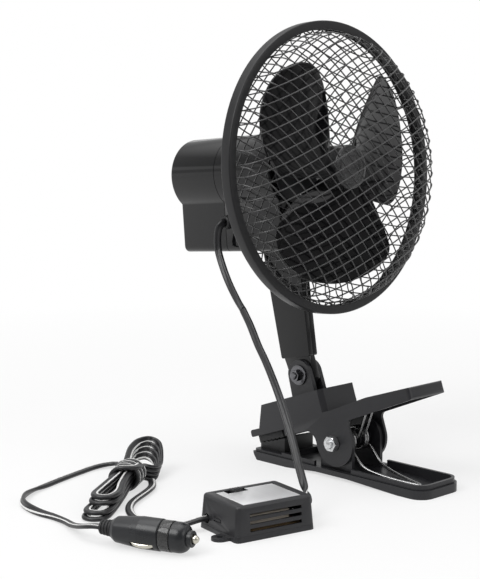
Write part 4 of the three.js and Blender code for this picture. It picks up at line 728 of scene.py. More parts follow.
def grille_group():
    group = bpy.data.node_groups.new("domed_grille", "GeometryNodeTree")
    group_socket(group, "Geometry", "NodeSocketGeometry", "OUTPUT")
    sockets = {}
    for name, value in (
        ("Edge place", 0.0027), ("Dome", -0.033), ("Shoulder", 0.0965), ("Reach", 0.1016), ("Pitch", 0.0078),
        ("Wire radius", 0.0005), ("Fullness", 3.0), ("Turn", 0.358), ("Crossing", 1.92), ("Hole", 0.0),
    ):
        sockets[name] = group_socket(group, name, "NodeSocketFloat", "INPUT", value).identifier
    sockets["Material"] = group_socket(group, "Material", "NodeSocketMaterial", "INPUT").identifier
    entry = wired(group, "NodeGroupInput")

    def reckon(operation, *values):
        return maths(group, operation, *values)

    def vector(**parts):
        return wired(group, "ShaderNodeCombineXYZ", parts)["Vector"]

    # one family: straight wires along X, spaced along Z
    wire = wired(group, "GeometryNodeCurvePrimitiveLine", {
        "Start": vector(X=reckon("MULTIPLY", entry["Reach"], -1.0)), "End": vector(X=entry["Reach"]),
    })
    fine = wired(group, "GeometryNodeResampleCurve", {"Count": 150, "Curve": wire["Curve"]})
    half = reckon("FLOOR", reckon("DIVIDE", entry["Reach"], entry["Pitch"]))
    start = reckon("MULTIPLY", reckon("MULTIPLY", half, entry["Pitch"]), -1.0)
    row = wired(group, "GeometryNodeMeshLine", {
        "Count": reckon("ADD", reckon("MULTIPLY", half, 2.0), 1.0), "Start Location": vector(Z=start),
        "Offset": vector(Z=entry["Pitch"]),
    })
    along = wired(group, "GeometryNodeInstanceOnPoints", {"Points": row["Mesh"], "Instance": fine["Curve"]})
    family = wired(group, "GeometryNodeRealizeInstances", {"Geometry": along["Instances"]})["Geometry"]

    # the second family lies across the first, one wire's thickness behind it
    crossing = wired(group, "GeometryNodeTransform", {
        "Geometry": family, "Translation": vector(Y=reckon("MULTIPLY", entry["Wire radius"], 1.7)),
        "Rotation": vector(Y=reckon("MULTIPLY", entry["Crossing"], -1.0)),
    })["Geometry"]
    both = group.nodes.new("GeometryNodeJoinGeometry")
    for part in (family, crossing):
        group.links.new(part, both.inputs["Geometry"])

    # distance from the axis, the trim at the ring, and the dome's depth
    position = wired(group, "GeometryNodeInputPosition")["Position"]
    parts = wired(group, "ShaderNodeSeparateXYZ", {"Vector": position})
    radius = reckon("SQRT", reckon("ADD", *[reckon("POWER", parts[axis], 2.0) for axis in "XZ"]))
    outside = reckon("GREATER_THAN", radius, entry["Reach"])
    inside = reckon("LESS_THAN", radius, entry["Hole"])
    trimmed = wired(group, "GeometryNodeDeleteGeometry", {
        "Geometry": both.outputs["Geometry"], "Selection": reckon("MAXIMUM", outside, inside),
    })
    share = reckon("MINIMUM", reckon("DIVIDE", radius, entry["Shoulder"]), 1.0)
    drop = reckon("MAXIMUM", reckon("SUBTRACT", 1.0, reckon("POWER", share, entry["Fullness"])), 0.0)
    root = reckon("DIVIDE", 1.0, entry["Fullness"])
    depth = reckon("MULTIPLY", reckon("POWER", drop, root), entry["Dome"])
    domed = wired(group, "GeometryNodeSetPosition", {
        "Geometry": trimmed["Geometry"], "Offset": vector(Y=reckon("ADD", depth, entry["Edge place"])),
    })

    section = wired(group, "GeometryNodeCurvePrimitiveCircle", {
        "Resolution": 6, "Radius": entry["Wire radius"],
    })
    solid = wired(group, "GeometryNodeCurveToMesh", {
        "Curve": domed["Geometry"], "Profile Curve": section["Curve"], "Fill Caps": True,
    })
    spun = wired(group, "GeometryNodeTransform", {
        "Geometry": solid["Mesh"], "Rotation": vector(Y=reckon("MULTIPLY", entry["Turn"], -1.0)),
    })
    smooth = wired(group, "GeometryNodeSetShadeSmooth", {"Geometry": spun["Geometry"]})
    real = wired(group, "GeometryNodeRealizeInstances", {"Geometry": smooth["Geometry"]})
    painted = wired(group, "GeometryNodeSetMaterial", {
        "Geometry": real["Geometry"], "Material": entry["Material"],
    })
    wired(group, "NodeGroupOutput", {"Geometry": painted["Geometry"]})
    return group, sockets


GRILLE, GRILLE_SOCKETS = grille_group()


def grille(name, node, edge_place, dome, fullness, turn, crossing, hole=0.0):
    obj = bpy.data.objects.new(name, bpy.data.meshes.new(name))
    bpy.context.collection.objects.link(obj)
    maker = obj.modifiers.new("wires", "NODES")
    maker.node_group = GRILLE
    for key, value in (
        ("Material", WIRE), ("Edge place", edge_place * MM), ("Dome", dome * MM), ("Fullness", fullness),
        ("Pitch", WIRE_PITCH * MM), ("Turn", math.radians(turn)), ("Crossing", math.radians(crossing)),
        ("Hole", hole * MM),
    ):
        maker[GRILLE_SOCKETS[key]] = value
    applied(obj)
    obj.data.transform(AT_HEAD)
    obj.data.shade_smooth()
    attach(obj, "head")
    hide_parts(node)
    return obj


grille("front_wires", "front_grille", FRONT_EDGE, -FRONT_DOME, FRONT_FULLNESS, WIRE_TURN, WIRE_CROSSING)
grille("rear_wires", "rear_grille", REAR_EDGE, REAR_DOME, REAR_FULLNESS, -WIRE_TURN, -WIRE_CROSSING,
       hole=REAR_HOLE)

# the black plate and three slotted screws that clamp the rear grille to the housing
PLATE_HOLE, PLATE_RADIUS, PLATE_FRONT, PLATE_REAR, SCREW_CIRCLE = 4.6, 25.0, 35.4, 36.8, 19
plate = turned("clamp_plate", rounded([
    (PLATE_HOLE, PLATE_FRONT, 0.3), (PLATE_RADIUS, PLATE_FRONT, 0.6), (PLATE_RADIUS, PLATE_REAR, 0.6),
    (PLATE_HOLE, PLATE_REAR, 0.3),
], 3), AT_HEAD, closed=True)
dressed(plate, SATIN, "head", ["grille_clamp_plate"], edge=0)
for k in range(3):
    angle = math.radians(30 + 120 * k)
    x, z = SCREW_CIRCLE * math.cos(angle), SCREW_CIRCLE * math.sin(angle)
    screw = rod(f"clamp_screw_head_{k + 1}", 2.6, PLATE_FRONT - 1.9, PLATE_FRONT - 0.3, "y", AT_HEAD, (x, z))
    cut(screw, slab("slit", (x - 2, x + 2), (33.2, 34.2), (z - SLIT_HALF, z + SLIT_HALF), AT_HEAD))
    dressed(screw, STEEL, "head", [f"clamp_screw_{k + 1}"], edge=0.25)

# ---------------------------------------------------------------- propeller
# Three broad twisted and hollowed blades on a capped hub, one moulding of glossy black ABS.
# It is pressed on the motor's shaft.
BLADE = plastic("blade_black", (0.003, 0.003, 0.0035), (0.005, 0.005, 0.0055), 0.05, 0.1,
                level=0.25, grain=700, depth=0.000008)
# the hub is the same glossy black ABS as the blades, but painted lighter and given a stronger reflection: a
# painted highlight that makes its rim stand out
HUB_PAINTED_HIGHLIGHT = plastic("hub_black_painted_highlight", (0.016, 0.016, 0.017), (0.028, 0.028, 0.028), 0.14, 0.26,
              level=0.8, grain=1800, depth=0.00002)
BLADE_ROOT, BLADE_TIP, BLADE_HALF, BLADE_SET = 14.8, 83.3, 0.9, -5
BLADE_HALF_SPAN, BLADE_NARROWING, BLADE_BOW, BLADE_SWEEP = 55, 13, 14.5, 2.6
BLADE_PITCH, BLADE_TWIST, BLADE_HOLLOW, TIP_SQUARENESS = 9, 2, 8.4, 15
HUB_RADIUS, HUB_BORE, HUB_INNER, HUB_FRONT, HUB_BACK = 16.0, 5.0, 13.6, -16.0, 6.0


def blade_point(angle, share, side, lift):
    # a point of a blade: share runs from root to tip, side from -1 to 1 across it; spans are in degrees
    s = math.sin(share * math.pi / 2)
    t = side * math.sqrt(max(1 - s ** TIP_SQUARENESS, 0.02))
    reach = BLADE_ROOT + (BLADE_TIP - BLADE_ROOT) * s
    middle = angle - BLADE_BOW * s * (1 - s) - BLADE_SWEEP * s
    phi = math.radians(middle + t * (BLADE_HALF_SPAN - BLADE_NARROWING * s))
    rise = BLADE_SET - t * (BLADE_PITCH + BLADE_TWIST * s) + BLADE_HOLLOW * (1 - t * t) * s
    return (reach * math.cos(phi), rise + lift, reach * math.sin(phi))


def blade(angle, along=44, across=36):
    vertices, faces = [], []
    row = across + 1
    for layer_side in (-1, 1):
        for i in range(along + 1):
            for j in range(row):
                share, side = i / along, 2 * j / across - 1
                rim = min(1.0, (1 - abs(side)) * 9, (1 - share) * 14)
                lift = layer_side * BLADE_HALF * math.sqrt(max(rim, 0.0))
                vertices.append(blade_point(angle, share, side, lift))
    layer = (along + 1) * row
    for i in range(along):
        for j in range(across):
            a = i * row + j
            faces.append([a, a + 1, a + row + 1, a + row])
            faces.append([layer + a, layer + a + row, layer + a + row + 1, layer + a + 1])
    for j in range(across):
        faces.append([j + 1, j, layer + j, layer + j + 1])
    return new_object("blade", vertices, faces, AT_HEAD)


hub = turned("propeller_hub", rounded([
    (0.0, -15.2, 0), (8.6, -15.2, 1.0), (9.4, HUB_FRONT, 0.5), (11.2, HUB_FRONT, 0.5), (11.8, -15.4, 0.3),
    (12.6, -15.4, 0.3), (13.2, HUB_FRONT, 0.5), (HUB_RADIUS, -15.6, 1.8), (HUB_RADIUS, HUB_BACK, 0.4),
    (HUB_INNER, HUB_BACK, 0.4), (HUB_INNER, -11.6, 0.5), (HUB_BORE, -11.6, 0.4), (HUB_BORE, HUB_BACK, 0.3),
    (0.0, HUB_BACK, 0),
], 6), AT_HEAD, segments=96)
blades = [blade(23 + 120 * k) for k in range(3)]
with bpy.context.temp_override(active_object=blades[0], selected_editable_objects=blades):
    bpy.ops.object.join()
blades[0].name = "propeller_blades"
dressed(blades[0], BLADE, "rotor", ["propeller"], edge=0)
dressed(hub, HUB_PAINTED_HIGHLIGHT, "rotor", ["propeller"], edge=0)

# ---------------------------------------------------------------- speed control
# A tapered satin ABS cover with three long vents on its near side, on a base with an ear.
# A bare silver label fills most of its top and reaches round the slot of the slide switch.
AT_CONTROL = placed(-177.7, -123.3, 0, turn_z=-11.4)
CONTROL_LENGTH, CONTROL_WIDTH, CONTROL_HEIGHT, CONTROL_DRAFT = 59.7, 45.4, 22.6, 1.6
CONTROL_WALL, BASE_TOP, RECESS_FLOOR, LABEL_FACE = 1.8, 3.45, 22, 22.5
SLOT_X, SLOT_Y, SLOT_FLOOR, ENTRY_RADIUS = (14.2, 29.8), (32.4, 38.4), 19.8, 3.1
RECESS_X, RECESS_Y, LABEL_GAP = (8, 51.7), (5, 38.2), 0.3
VENT_HEIGHTS, VENT_HALF, CONTROL_EAR = (6.9, 11.6, 16.2), 1.1, (-4, 13.6)
LOOSE_CORD_ENTRY, FAN_CORD_ENTRY = (36.4, 7.5), (22.7, 9.5)
CASE = plastic("control_case", (0.016, 0.016, 0.018), (0.024, 0.024, 0.027), 0.36, 0.5,
               grain=2200, depth=0.00005)
LABEL = metal("bare_label", (0.90, 0.90, 0.91), 0.45, 0.6, brushed=(3000.0, 40.0, 3000.0))
CERAMIC = plastic("ceramic", (0.42, 0.37, 0.31), (0.5, 0.45, 0.38), 0.7, 0.85, dust=0.0)
BOARD = plastic("board", (0.20, 0.13, 0.06), (0.26, 0.17, 0.08), 0.5, 0.6, dust=0.0)


def control_plan(inset):
    length, width, corner = CONTROL_LENGTH, CONTROL_WIDTH, max(3.4 - inset, 0.8)
    return rounded([
        (inset, inset, corner), (length - inset, inset, corner), (length - inset, width - inset, corner),
        (inset, width - inset, corner),
    ], 6)


def tapered(name, layers):
    obj = lofted(name, layers, "z", Matrix.Scale(1 / MM, 4))
    for v in obj.data.vertices:
        share = CONTROL_DRAFT * v.co.z / CONTROL_HEIGHT
        for axis, middle in ((0, CONTROL_LENGTH / 2), (1, CONTROL_WIDTH / 2)):
            v.co[axis] = middle + (v.co[axis] - middle) * (1 - share / middle)
    obj.data.transform(AT_CONTROL @ Matrix.Scale(MM, 4))
    return obj


cover_layers = [(control_plan(0), BASE_TOP + 0.1)] + soft_end(control_plan, CONTROL_HEIGHT, 1.9, 1)
cover = tapered("control_shell", cover_layers)
cut(cover, tapered("room", [(control_plan(CONTROL_WALL), z) for z in (2.7, CONTROL_HEIGHT - CONTROL_WALL)]))
for z in VENT_HEIGHTS:
    cut(cover, slab("vent", (10.35, 49.35), (-1, 5), (z - VENT_HALF, z + VENT_HALF), AT_CONTROL))
cut(cover, slab("label_recess", RECESS_X, RECESS_Y, (RECESS_FLOOR, 24), AT_CONTROL))
cut(cover, slab("switch_slot", SLOT_X, SLOT_Y, (SLOT_FLOOR, 24), AT_CONTROL))
cut(cover, rod("entry", ENTRY_RADIUS, -1, 5, "x", AT_CONTROL, LOOSE_CORD_ENTRY))
cut(cover, rod("entry", ENTRY_RADIUS, 54, 61, "x", AT_CONTROL, FAN_CORD_ENTRY))
latch = slab("latch", (-1, 1.3), (19.6, 28.0), (8.0, 10.8), AT_CONTROL)
cut(latch, slab("latch_middle", (-2, 2), (20.4, 29), (8.7, 10.1), AT_CONTROL))
cut(cover, latch)
dressed(cover, CASE, "lower_lever", ["control_cover"], edge=0.3, segments=2)
base = tapered("control_floor", [(control_plan(0), 0), (control_plan(0), BASE_TOP)])
add(base, prism("ear", arc(*CONTROL_EAR, 5.5, 90, 270, 24) + [(2, 8.1), (2, 19.1)], 0, 2, "z", AT_CONTROL))
cut(base, rod("hole", 2, -1, 4, "z", AT_CONTROL, CONTROL_EAR))
dressed(base, CASE, "lower_lever", ["control_base"], edge=0.2)
label_x, label_y = ((low + LABEL_GAP, high - LABEL_GAP) for low, high in (RECESS_X, RECESS_Y))
label = slab("label", label_x, label_y, (RECESS_FLOOR + 0.15, LABEL_FACE), AT_CONTROL)
cut(label, slab("switch_room", SLOT_X, (SLOT_Y[0], 39), (20, 24), AT_CONTROL))
dressed(label, LABEL, "lower_lever", ["label_plate"], edge=0.1)
# on the floor inside: the board, and on it the dropping resistor and the switch's body
BOARD_TOP, ON_BOARD = 5.3, 5.6
board = slab("board", (6, 53.7), (6, 39.4), (3.7, BOARD_TOP), AT_CONTROL)
dressed(board, BOARD, "lower_lever", ["circuit_board"], edge=0.1)
resistor = slab("resistor", (13, 44.7), (8, 17), (ON_BOARD, 14.3), AT_CONTROL)
dressed(resistor, CERAMIC, "lower_lever", ["speed_resistor"], edge=0.5)
switch = slab("switch_case", (12, 32), (31.4, 39.4), (ON_BOARD, 17.5), AT_CONTROL)
dressed(switch, SATIN, "lower_lever", ["switch_body"], edge=0.3)
knob = slab("knob", (18.6, 25.4), (32.8, 38.0), (17.8, 24.2), AT_CONTROL)
for x in (20, 22, 24):
    cut(knob, slab("groove", (x - 0.4, x + 0.4), (26, 45), (23.6, 26), AT_CONTROL))
dressed(knob, SATIN, "knob", ["switch_knob"], edge=0.25)

# ---------------------------------------------------------------- plug
# A turned-looking ABS barrel with two sprung side contacts, a clear ring, a cap round a sprung nickel pin,
# and a ribbed rubber strain relief. It lies on the table, rolled on its side.
PLUG_ROLL, PLUG_RADIUS, RING_START, TAIL_BORE = -37, 10, 16.5, 4.9
PIN_RADIUS, CONTACT_HALF, CONTACT_FOOT, CONTACT_START, CONTACT_END = 2.6, 1.6, 8.3, 27.6, 42.4
RIB_COUNT, RIB_START, RIB_PITCH, RIB_RADIUS, RELIEF_BORE, CORE_DEPTH = 4, 58.3, 2.25, 5.4, 3.1, 0.9
AT_PLUG = placed(-209.8, -123.6, PLUG_RADIUS, turn_z=22) @ Matrix.Rotation(math.radians(PLUG_ROLL), 4, "Y")
PLUG = plastic("plug_case", (0.010, 0.011, 0.013), (0.016, 0.017, 0.019), 0.24, 0.34,
               grain=2000, depth=0.00002)
NICKEL = metal("nickel", (0.86, 0.83, 0.72), 0.15, 0.3)


def clear(name):
    material, tree = shaded(name)
    patch = wired(tree, "ShaderNodeGroup", node_tree=MOULDED)["Patch"]
    fed(tree, tree.nodes["Principled BSDF"], {
        "Base Color": colour_mix(tree, (0.07, 0.07, 0.07), (0.11, 0.11, 0.11), patch),
        "Roughness": spread(tree, patch, 0.05, 0.12), "Transmission Weight": 0.6, "IOR": 1.46,
    })
    return material


CLEAR = clear("clear_plastic")
barrel = turned("plug_barrel", rounded([
    (0, 24, 0), (PLUG_RADIUS, 24, 1.0), (PLUG_RADIUS, 38, 3), (8.2, 55, 1.2), (6.2, 58, 1.0), (0, 58, 0),
], 6), AT_PLUG, segments=80)
for x in both_sides(6.8, PLUG_RADIUS + 1):
    cut(barrel, slab("pocket", x, (27, 43), (-2, 2), AT_PLUG))
cut(barrel, rod("tail_bore", TAIL_BORE, 52, 59, "y", AT_PLUG))
dressed(barrel, PLUG, "lower_lever", ["plug_body"], edge=0.2)
clear_ring = turned("clear_ring", rounded([
    (4, RING_START, 0.2), (9.7, RING_START, 0.6), (9.7, 23.7, 0.4), (4, 23.7, 0.2),
], 4), AT_PLUG, closed=True)
dressed(clear_ring, CLEAR, "lower_lever", ["plug_clear_ring"], edge=0)
quarter = np.radians(np.linspace(0, 90, 14))
shoulder = [(5.2 + 4.3 * math.sin(a), 6.5 + 6 * (1 - math.cos(a))) for a in quarter]
cap = turned("tip_cap", [
    (3.0, 3.9), (3.3, 3.5), (4.7, 3.5), (5.2, 4.0), *shoulder, (9.5, 15.9), (9.2, 16.2), (0.0, 16.2),
    (0.0, 11.5), (3.0, 11.5),
], AT_PLUG, segments=64)
dressed(cap, PLUG, "lower_lever", ["plug_tip_cap"], edge=0)
pin = turned("centre_pin", rounded([
    (0, 0, 0), (1.5, 0.3, 0.8), (PIN_RADIUS, 1.8, 1.2), (PIN_RADIUS, 8.7, 0.2), (0, 8.7, 0),
], 5), AT_PLUG, segments=48)
dressed(pin, NICKEL, "centre_pin", ["plug_centre_pin"], edge=0)
for sign, name in ((-1, "left"), (1, "right")):
    lengthwise = np.linspace(CONTACT_START, CONTACT_END, 24)
    bow = [(sign * (9 + 1.6 * (1 - ((y - 35) / 7.4) ** 2)), y) for y in lengthwise]
    outline = [(sign * CONTACT_FOOT, CONTACT_START), *bow, (sign * CONTACT_FOOT, CONTACT_END)]
    strip = prism(f"side_contact_{name}", outline, -CONTACT_HALF, CONTACT_HALF, "z", AT_PLUG)
    dressed(strip, NICKEL, f"contact_{name}", [f"plug_contact_{name}"], edge=0.3)
relief_profile = [(RELIEF_BORE, 52.4), (4.6, 52.4), (4.6, RIB_START)]
for k in range(RIB_COUNT):
    y, r = RIB_START + RIB_PITCH * k, RIB_RADIUS - 0.28 * k
    core = r - CORE_DEPTH
    relief_profile += [(r, y + 0.2), (r, y + 1.3), (core, y + 1.5), (core, y + 2.1)]
relief_profile.append((RELIEF_BORE, 67.3))
relief = turned("strain_relief", relief_profile, AT_PLUG, segments=64, closed=True)
dressed(relief, RUBBER, "lower_lever", ["plug_strain_relief"], edge=0.15)

# ---------------------------------------------------------------- fan cord
# Flat two-core vinyl cord, with a white stripe along one core. It leaves the housing, hangs down in one
# sweep and goes into the control. A point of a route may carry the way the flat side faces there.
CORD_WIDTH, CORD_THICK, STRIPE_PLACE = 5.6, 2.8, 0.385
STRIPE_COLOUR = (0.80, 0.80, 0.79)


def striped_vinyl():
    material, tree = shaded("cord_vinyl")
    around = wired(tree, "ShaderNodeUVMap", uv_map="round")["UV"]
    share = wired(tree, "ShaderNodeSeparateXYZ", {"Vector": around})["X"]
    stripes = []
    for middle in (STRIPE_PLACE, STRIPE_PLACE + 1):
        far = maths(tree, "ABSOLUTE", maths(tree, "SUBTRACT", share, middle))
        stripes.append(spread(tree, far, 1.0, 0.0, 0.045, 0.055))
    effect = wired(tree, "ShaderNodeGroup", {"Grain size": 1200, "Patch size": 60}, node_tree=MOULDED)
    shade = colour_mix(tree, (0.010, 0.010, 0.011), (0.020, 0.020, 0.022), effect["Patch"])
    fed(tree, tree.nodes["Principled BSDF"], {
        "Base Color": colour_mix(tree, shade, STRIPE_COLOUR, maths(tree, "MAXIMUM", *stripes)),
        "Roughness": spread(tree, effect["Patch"], 0.26, 0.42),
        "Normal": bump(tree, effect["Height"], 0.4, 0.00002),
    })
    return material


VINYL = striped_vinyl()


def cord_section(count=12):
    r = CORD_THICK / 2
    offset = CORD_WIDTH / 2 - r
    right = [(offset + r * math.cos(a), r * math.sin(a)) for a in np.radians(np.linspace(-125, 125, count))]
    return right + [(-x, -y) for x, y in right]


def flat_cord(name, route, place=AT_CLIP):
    # route rows: x, y, z, and the direction that the flat side faces
    line = spline(route)
    points, faces_to = line[:, :3], line[:, 3:]
    ahead = np.gradient(points, axis=0)
    ahead /= np.linalg.norm(ahead, axis=1)[:, None]
    across = np.cross(ahead, faces_to)
    across /= np.linalg.norm(across, axis=1)[:, None]
    up = np.cross(across, ahead)
    section = cord_section()
    count = len(section)
    vertices = [tuple(p + x * a + y * u) for p, a, u in zip(points, across, up) for x, y in section]
    faces = []
    for i in range(0, (len(points) - 1) * count, count):
        for k in range(count):
            n = (k + 1) % count
            faces.append([i + k, i + count + k, i + count + n, i + n])
    faces.append(list(range(count)))
    faces.append([(len(points) - 1) * count + k for k in range(count - 1, -1, -1)])
    data = bpy.data.meshes.new(name)
    data.from_pydata(vertices, [], faces)
    round_map = data.uv_layers.new(name="round")
    for face in data.polygons:
        ks = [data.loops[i].vertex_index % count for i in face.loop_indices]
        wraps = max(ks) - min(ks) > count / 2
        for i, k in zip(face.loop_indices, ks):
            share = (k + (count if wraps and k < count / 2 else 0)) / count
            round_map.data[i].uv = (share, data.loops[i].vertex_index // count * 0.01)
    data.transform(place @ Matrix.Scale(MM, 4))
    data.materials.append(VINYL)
    data.shade_smooth()
    obj = bpy.data.objects.new(name, data)
    bpy.context.collection.objects.link(obj)
    world = [place @ (Vector(p) * MM) for p in points]
    length = sum((b - a).length for a, b in zip(world, world[1:]))
    return obj, [tuple(p) for p in world], length


def facing(route, way):
    return [(*p, *way) if len(p) == 3 else p for p in route]


def hung_cord(name, route, node):
    cord, line, length = flat_cord(name, facing(route, TO_BACK_RIGHT))
    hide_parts(node)
    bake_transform(cord)


TO_BACK_RIGHT = (0.72, 0.62, 0.2)
hung_cord("fan_cord_upper", [
    (-19.6, 110.7, 177.1, 0, 1, 0), (-21.6, 110.7, 177.1, 0, 1, 0), (-23.6, 110.7, 177.0, 0.2, 1, 0),
    (-26.6, 111.6, 174.0), (-27.5, 112.6, 167.0), (-27.7, 112.0, 158.0), (-28.5, 109.8, 153.2),
    (-31.2, 101.5, 141.9), (-34.6, 92.0, 132.6), (-40.2, 78.5, 123.6), (-46.3, 66.0, 118.0),
], "cord_upper")
hung_cord("fan_cord_lower", [
    (-46.3, 66.0, 118.0), (-53.0, 51.6, 109.0), (-60.0, 36.7, 97.5), (-66.3, 23.2, 89.0), (-72.2, 10.7, 80.0),
    (-79.7, -5.5, 66.0), (-87.1, -21.2, 49.5), (-92.7, -33.2, 33.4), (-96.8, -42.6, 20.5),
    (-100.2, -49.8, 13.0, 0.4, 0.2, 0.9), (-104.6, -54.0, 10.0, 0, 0, 1), (-109.6, -53.9, 9.5, 0, 0, 1),
    (-112.7, -53.3, 9.5, 0, 0, 1), (-117.0, -52.4, 9.5, 0, 0, 1),
], "cord_lower")

# ---------------------------------------------------------------- loose cord
# The same cord from the control to the plug. Its spare length is folded into a hank of four loops
# and bound with three turns of itself, and it all lies on the table.
HANK_MIDDLE = np.array((-146.0, 80.0, 0.0))
HANK_WAY = np.array((0.831, 0.556, 0.0))
HANK_SIDE = np.array((-0.556, 0.831, 0.0))
FOLD_ENDS = (-79, -75, -63, -59)
TURN_COUNT, TURN_STEPS, TURN_START, TURN_PITCH = 3, 12, -9.0, 6.6
TURN_REACH, TURN_RISE, TURN_MIDDLE = 9.6, 8.2, 9.8


def in_hank(s, n, z, facing_s=0.0, facing_n=0.0, facing_z=1.0):
    at = HANK_MIDDLE + s * HANK_WAY + n * HANK_SIDE + np.array((0, 0, z))
    way = facing_s * HANK_WAY + facing_n * HANK_SIDE + np.array((0, 0, facing_z))
    return (*at, *way)


def hank_loops():
    # each loop goes from the turns to one folded end and back, then round the other end, above the last loop
    route = []
    for k, end in enumerate(FOLD_ENDS):
        low, left = 4.9 + 3.05 * k, 1.9 + 3.1 * k
        inner = 4.0 * (3 - k)
        route += [
            in_hank(8, -3.3, low), in_hank(-8, -3.3, low), in_hank(-30, -5.0, (low + left) / 2),
            in_hank(end + 17, -6.8, left), in_hank(end + 6.6, -6.6, left), in_hank(end + 1.9, -4.7, left),
            in_hank(end, 0.0, left), in_hank(end + 1.9, 4.7, left), in_hank(end + 6.6, 6.6, left),
            in_hank(end + 17, 6.8, left), in_hank(-30, 5.0, (low + left) / 2),
            in_hank(-8, 3.3, low), in_hank(8, 3.3, low), in_hank(20, 5.0, low + 2.5, 0, -0.5, 1),
            in_hank(36 - inner / 2, 7.0, low + 6, 0, -0.9, 0.7),
            in_hank(50 - inner, 5.0, low + 8, -0.4, -0.9, 0.5),
            in_hank(59 - inner, -1.0, low + 7.5, -0.9, -0.2, 0.5),
            in_hank(56 - inner, -8.0, low + 5, -0.5, 0.8, 0.5),
            in_hank(42 - inner, -13.0, 3.0 + 2 * k, 0, 0.9, 0.6),
            in_hank(28 - inner / 2, -12.0, 2.2 + 2.4 * k, 0, 0.4, 1), in_hank(18, -7.0, low - 1, 0, 0.2, 1),
        ]
    return route


def hank_turns():
    route = []
    for i in range(1, TURN_COUNT * TURN_STEPS + 3):
        angle = math.radians(110) - 2 * math.pi * i / TURN_STEPS
        n, z = math.cos(angle), math.sin(angle)
        s = TURN_START + TURN_PITCH * i / TURN_STEPS
        route.append(in_hank(s, TURN_REACH * n, TURN_MIDDLE + TURN_RISE * z, 0, n, z))
    return route


loose_route = [
    (-168.6, -28.0, 7.5, 0, 0, 1), (-172.5, -27.2, 7.5, 0, 0, 1), (-176.4, -26.4, 7.3, 0, 0, 1),
    (-182.4, -22.4, 5.4, 0, 0, 1), (-187.0, -13.5, 3.2, 0, 0, 1), (-190.0, -2.0, 1.8, 0, 0, 1),
    (-191.6, 8.0, 1.7, 0, 0, 1), (-190.2, 17.0, 1.7, 0, 0, 1), (-186.4, 27.0, 1.7, 0, 0, 1),
    (-180.0, 37.0, 2.0, 0, 0, 1), (-170.0, 46.0, 2.4, 0, 0, 1), in_hank(0, -17.5, 2.4),
    in_hank(15, -14.0, 2.2), in_hank(25, -9.0, 2.2), in_hank(29, -1.5, 2.2), in_hank(25.5, 4.5, 2.4),
    in_hank(17, 3.5, 3.4),
]
loose_route += hank_loops()
loose_route += [
    in_hank(8, -7.0, 15.8, 0, -0.4, 1), in_hank(0, -7.4, 16.6, 0, -0.3, 1),
    in_hank(-5.5, -5.6, 17.4, 0, -0.2, 1), in_hank(-8.3, -1.8, 18.0, 0, -0.1, 1),
]
loose_route += hank_turns()
loose_route += [
    in_hank(13.6, 8.6, 15.0, 0, 0.8, 0.8), in_hank(18, 12.0, 11.0, 0, 0.9, 0.6),
    (-122.8, 107.5, 7.5, 0.3, 0.6, 0.9), (-116.8, 120.4, 5.0, 0.3, 0.1, 1), (-114.7, 130.4, 3.6, 0, 0, 1),
    (-119.4, 136.2, 2.6, 0, 0, 1), (-128.5, 138.0, 1.9, 0, 0, 1), (-144.3, 134.9, 1.7, 0, 0, 1),
    (-167.3, 128.6, 1.7, 0, 0, 1), (-184.6, 123.2, 1.7, 0, 0, 1), (-198.4, 118.5, 2.0, -0.3, 0.5, 1),
    (-212.3, 109.4, 2.9, -0.8, 0.6, 0.5), (-221.8, 98.4, 2.9, -1, 0.3, 0.4), (-227.0, 85.0, 2.9, -1, 0, 0.5),
    (-227.8, 71.0, 2.2, -0.6, 0, 1), (-226.6, 57.3, 1.9, -0.2, 0, 1), (-228.0, 44.0, 2.2, 0, 0, 1),
    (-232.0, 31.0, 3.4, 0, 0, 1), (-235.6, 19.0, 6.0, 0, 0.3, 1), (-237.4, 9.0, 8.6, 0, 0.2, 1),
    (-236.4, 2.4, 9.9, 0, 0, 1), (-234.5, -2.6, 10.0, 0, 0, 1), (-232.0, -8.6, 10.0, 0, 0, 1),
]
loose_cord, loose_line, loose_length = flat_cord("loose_cord", loose_route)
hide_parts("cord_tail", "cord_hank", "cord_to_plug")
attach(loose_cord, "lower_lever")

# ---------------------------------------------------------------- floor and light
# A plain white table and wide soft lights, as in a studio photograph. The table keeps the shadows,
# and away from the fan it runs into the white of the backdrop.
CAMERA_SIDE = Vector((-0.38, -0.92, 0.10))
FLOOR_SPAN, FLOOR_COLOUR, MIRROR_SHARE, MIRROR_LEVEL, SKY_LEVEL = (-3000, 3000), 0.9, 0.85, 0.3, 0.42
floor = slab("floor", FLOOR_SPAN, FLOOR_SPAN, (-20, 0), Matrix.Identity(4))


def toward_camera(tree, direction):
    ends = {0: direction, 1: CAMERA_SIDE}
    return wired(tree, "ShaderNodeVectorMath", ends, operation="DOT_PRODUCT")["Value"]


def sees_backdrop(tree):
    # camera rays, mirrored rays and rays through clear plastic all see the white backdrop
    rays = wired(tree, "ShaderNodeLightPath")
    return rays["Is Camera Ray"], maths(tree, "MAXIMUM", rays["Is Glossy Ray"], rays["Is Transmission Ray"])


def number_mix(tree, first, second, factor):
    return wired(tree, "ShaderNodeMix", {"A": first, "B": second, "Factor": factor})["Result"]


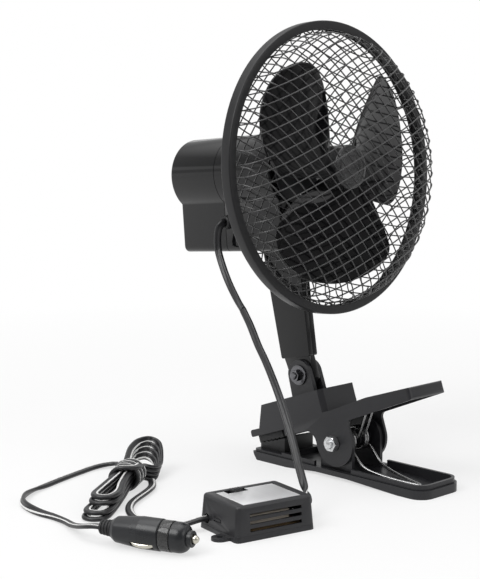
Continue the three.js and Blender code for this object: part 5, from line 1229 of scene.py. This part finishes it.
floor_material, tree = shaded("floor")
floor_shader = fed(tree, tree.nodes["Principled BSDF"], {
    "Base Color": (FLOOR_COLOUR, FLOOR_COLOUR, FLOOR_COLOUR, 1), "Roughness": 0.8, "Specular IOR Level": 0.0,
})
place = wired(tree, "ShaderNodeTexCoord")["Object"]
away = wired(tree, "ShaderNodeVectorMath", {0: place}, operation="LENGTH")["Value"]
seen, mirrored = sees_backdrop(tree)
dimmed = spread(tree, toward_camera(tree, place), 1.0, MIRROR_LEVEL, -0.1, 0.5)
white = wired(tree, "ShaderNodeEmission", {"Strength": number_mix(tree, 1.0, dimmed, mirrored)})
seen_share = number_mix(tree, 0.0, spread(tree, away, 0.62, 1.0, 0.3, 0.8), seen)
mixed = wired(tree, "ShaderNodeMixShader", {
    "Fac": number_mix(tree, seen_share, MIRROR_SHARE, mirrored), 1: floor_shader.outputs["BSDF"],
    2: white["Emission"],
})
fed(tree, tree.nodes["Material Output"], {"Surface": mixed["Shader"]})
floor.data.materials.append(floor_material)


def area_light(name, at, aim, size, power):
    data = bpy.data.lights.new(name, "AREA")
    data.shape = "RECTANGLE"
    data.size, data.size_y = size
    data.energy = power
    obj = bpy.data.objects.new(name, data)
    obj.location = at
    obj.rotation_mode = "QUATERNION"
    obj.rotation_quaternion = (Vector(aim) - Vector(at)).to_track_quat("-Z", "Y")
    bpy.context.collection.objects.link(obj)
    return obj


area_light("key", at=(-1.5, 0.1, 1.5), aim=(0, 0, 0.15), size=(1.3, 1.0), power=18)
area_light("front", at=(0.5, -1.9, 1.1), aim=(0, 0, 0.15), size=(1.4, 1.0), power=8)
area_light("top", at=(0, 0.2, 2.2), aim=(0, 0, 0), size=(2.0, 2.0), power=20)

# the backdrop is white to the eye and in what mirrors it, and darker on the side where the camera stands
world = bpy.data.worlds.new("world")
world.use_nodes = True
tree = world.node_tree
place = wired(tree, "ShaderNodeTexCoord")["Generated"]
bands = tree.nodes.new("ShaderNodeValToRGB")
steps = bands.color_ramp.elements
steps[0].color = (0.95, 0.95, 0.95, 1)
steps[1].color = (1, 1, 1, 1)
for position, value in (
    (0.06, 0.95), (0.08, 0.62), (0.16, 0.62), (0.18, 1.0), (0.25, 1.0), (0.28, 0.5), (0.5, 0.5), (0.62, 1),
):
    steps.new(position).color = (value, value, value, 1)
fed(tree, bands, {"Fac": wired(tree, "ShaderNodeSeparateXYZ", {"Vector": place})["Z"]})
studio = spread(tree, toward_camera(tree, place), 1.0, MIRROR_LEVEL, 0.0, 0.7)
seen, mirrored = sees_backdrop(tree)
lit = number_mix(tree, SKY_LEVEL, maths(tree, "MULTIPLY", studio, bands.outputs["Color"]), mirrored)
fed(tree, tree.nodes["Background"], {"Color": (1, 1, 1, 1), "Strength": number_mix(tree, lit, 1.0, seen)})
bpy.context.scene.world = world
bpy.context.scene.view_settings.view_transform = "Standard"
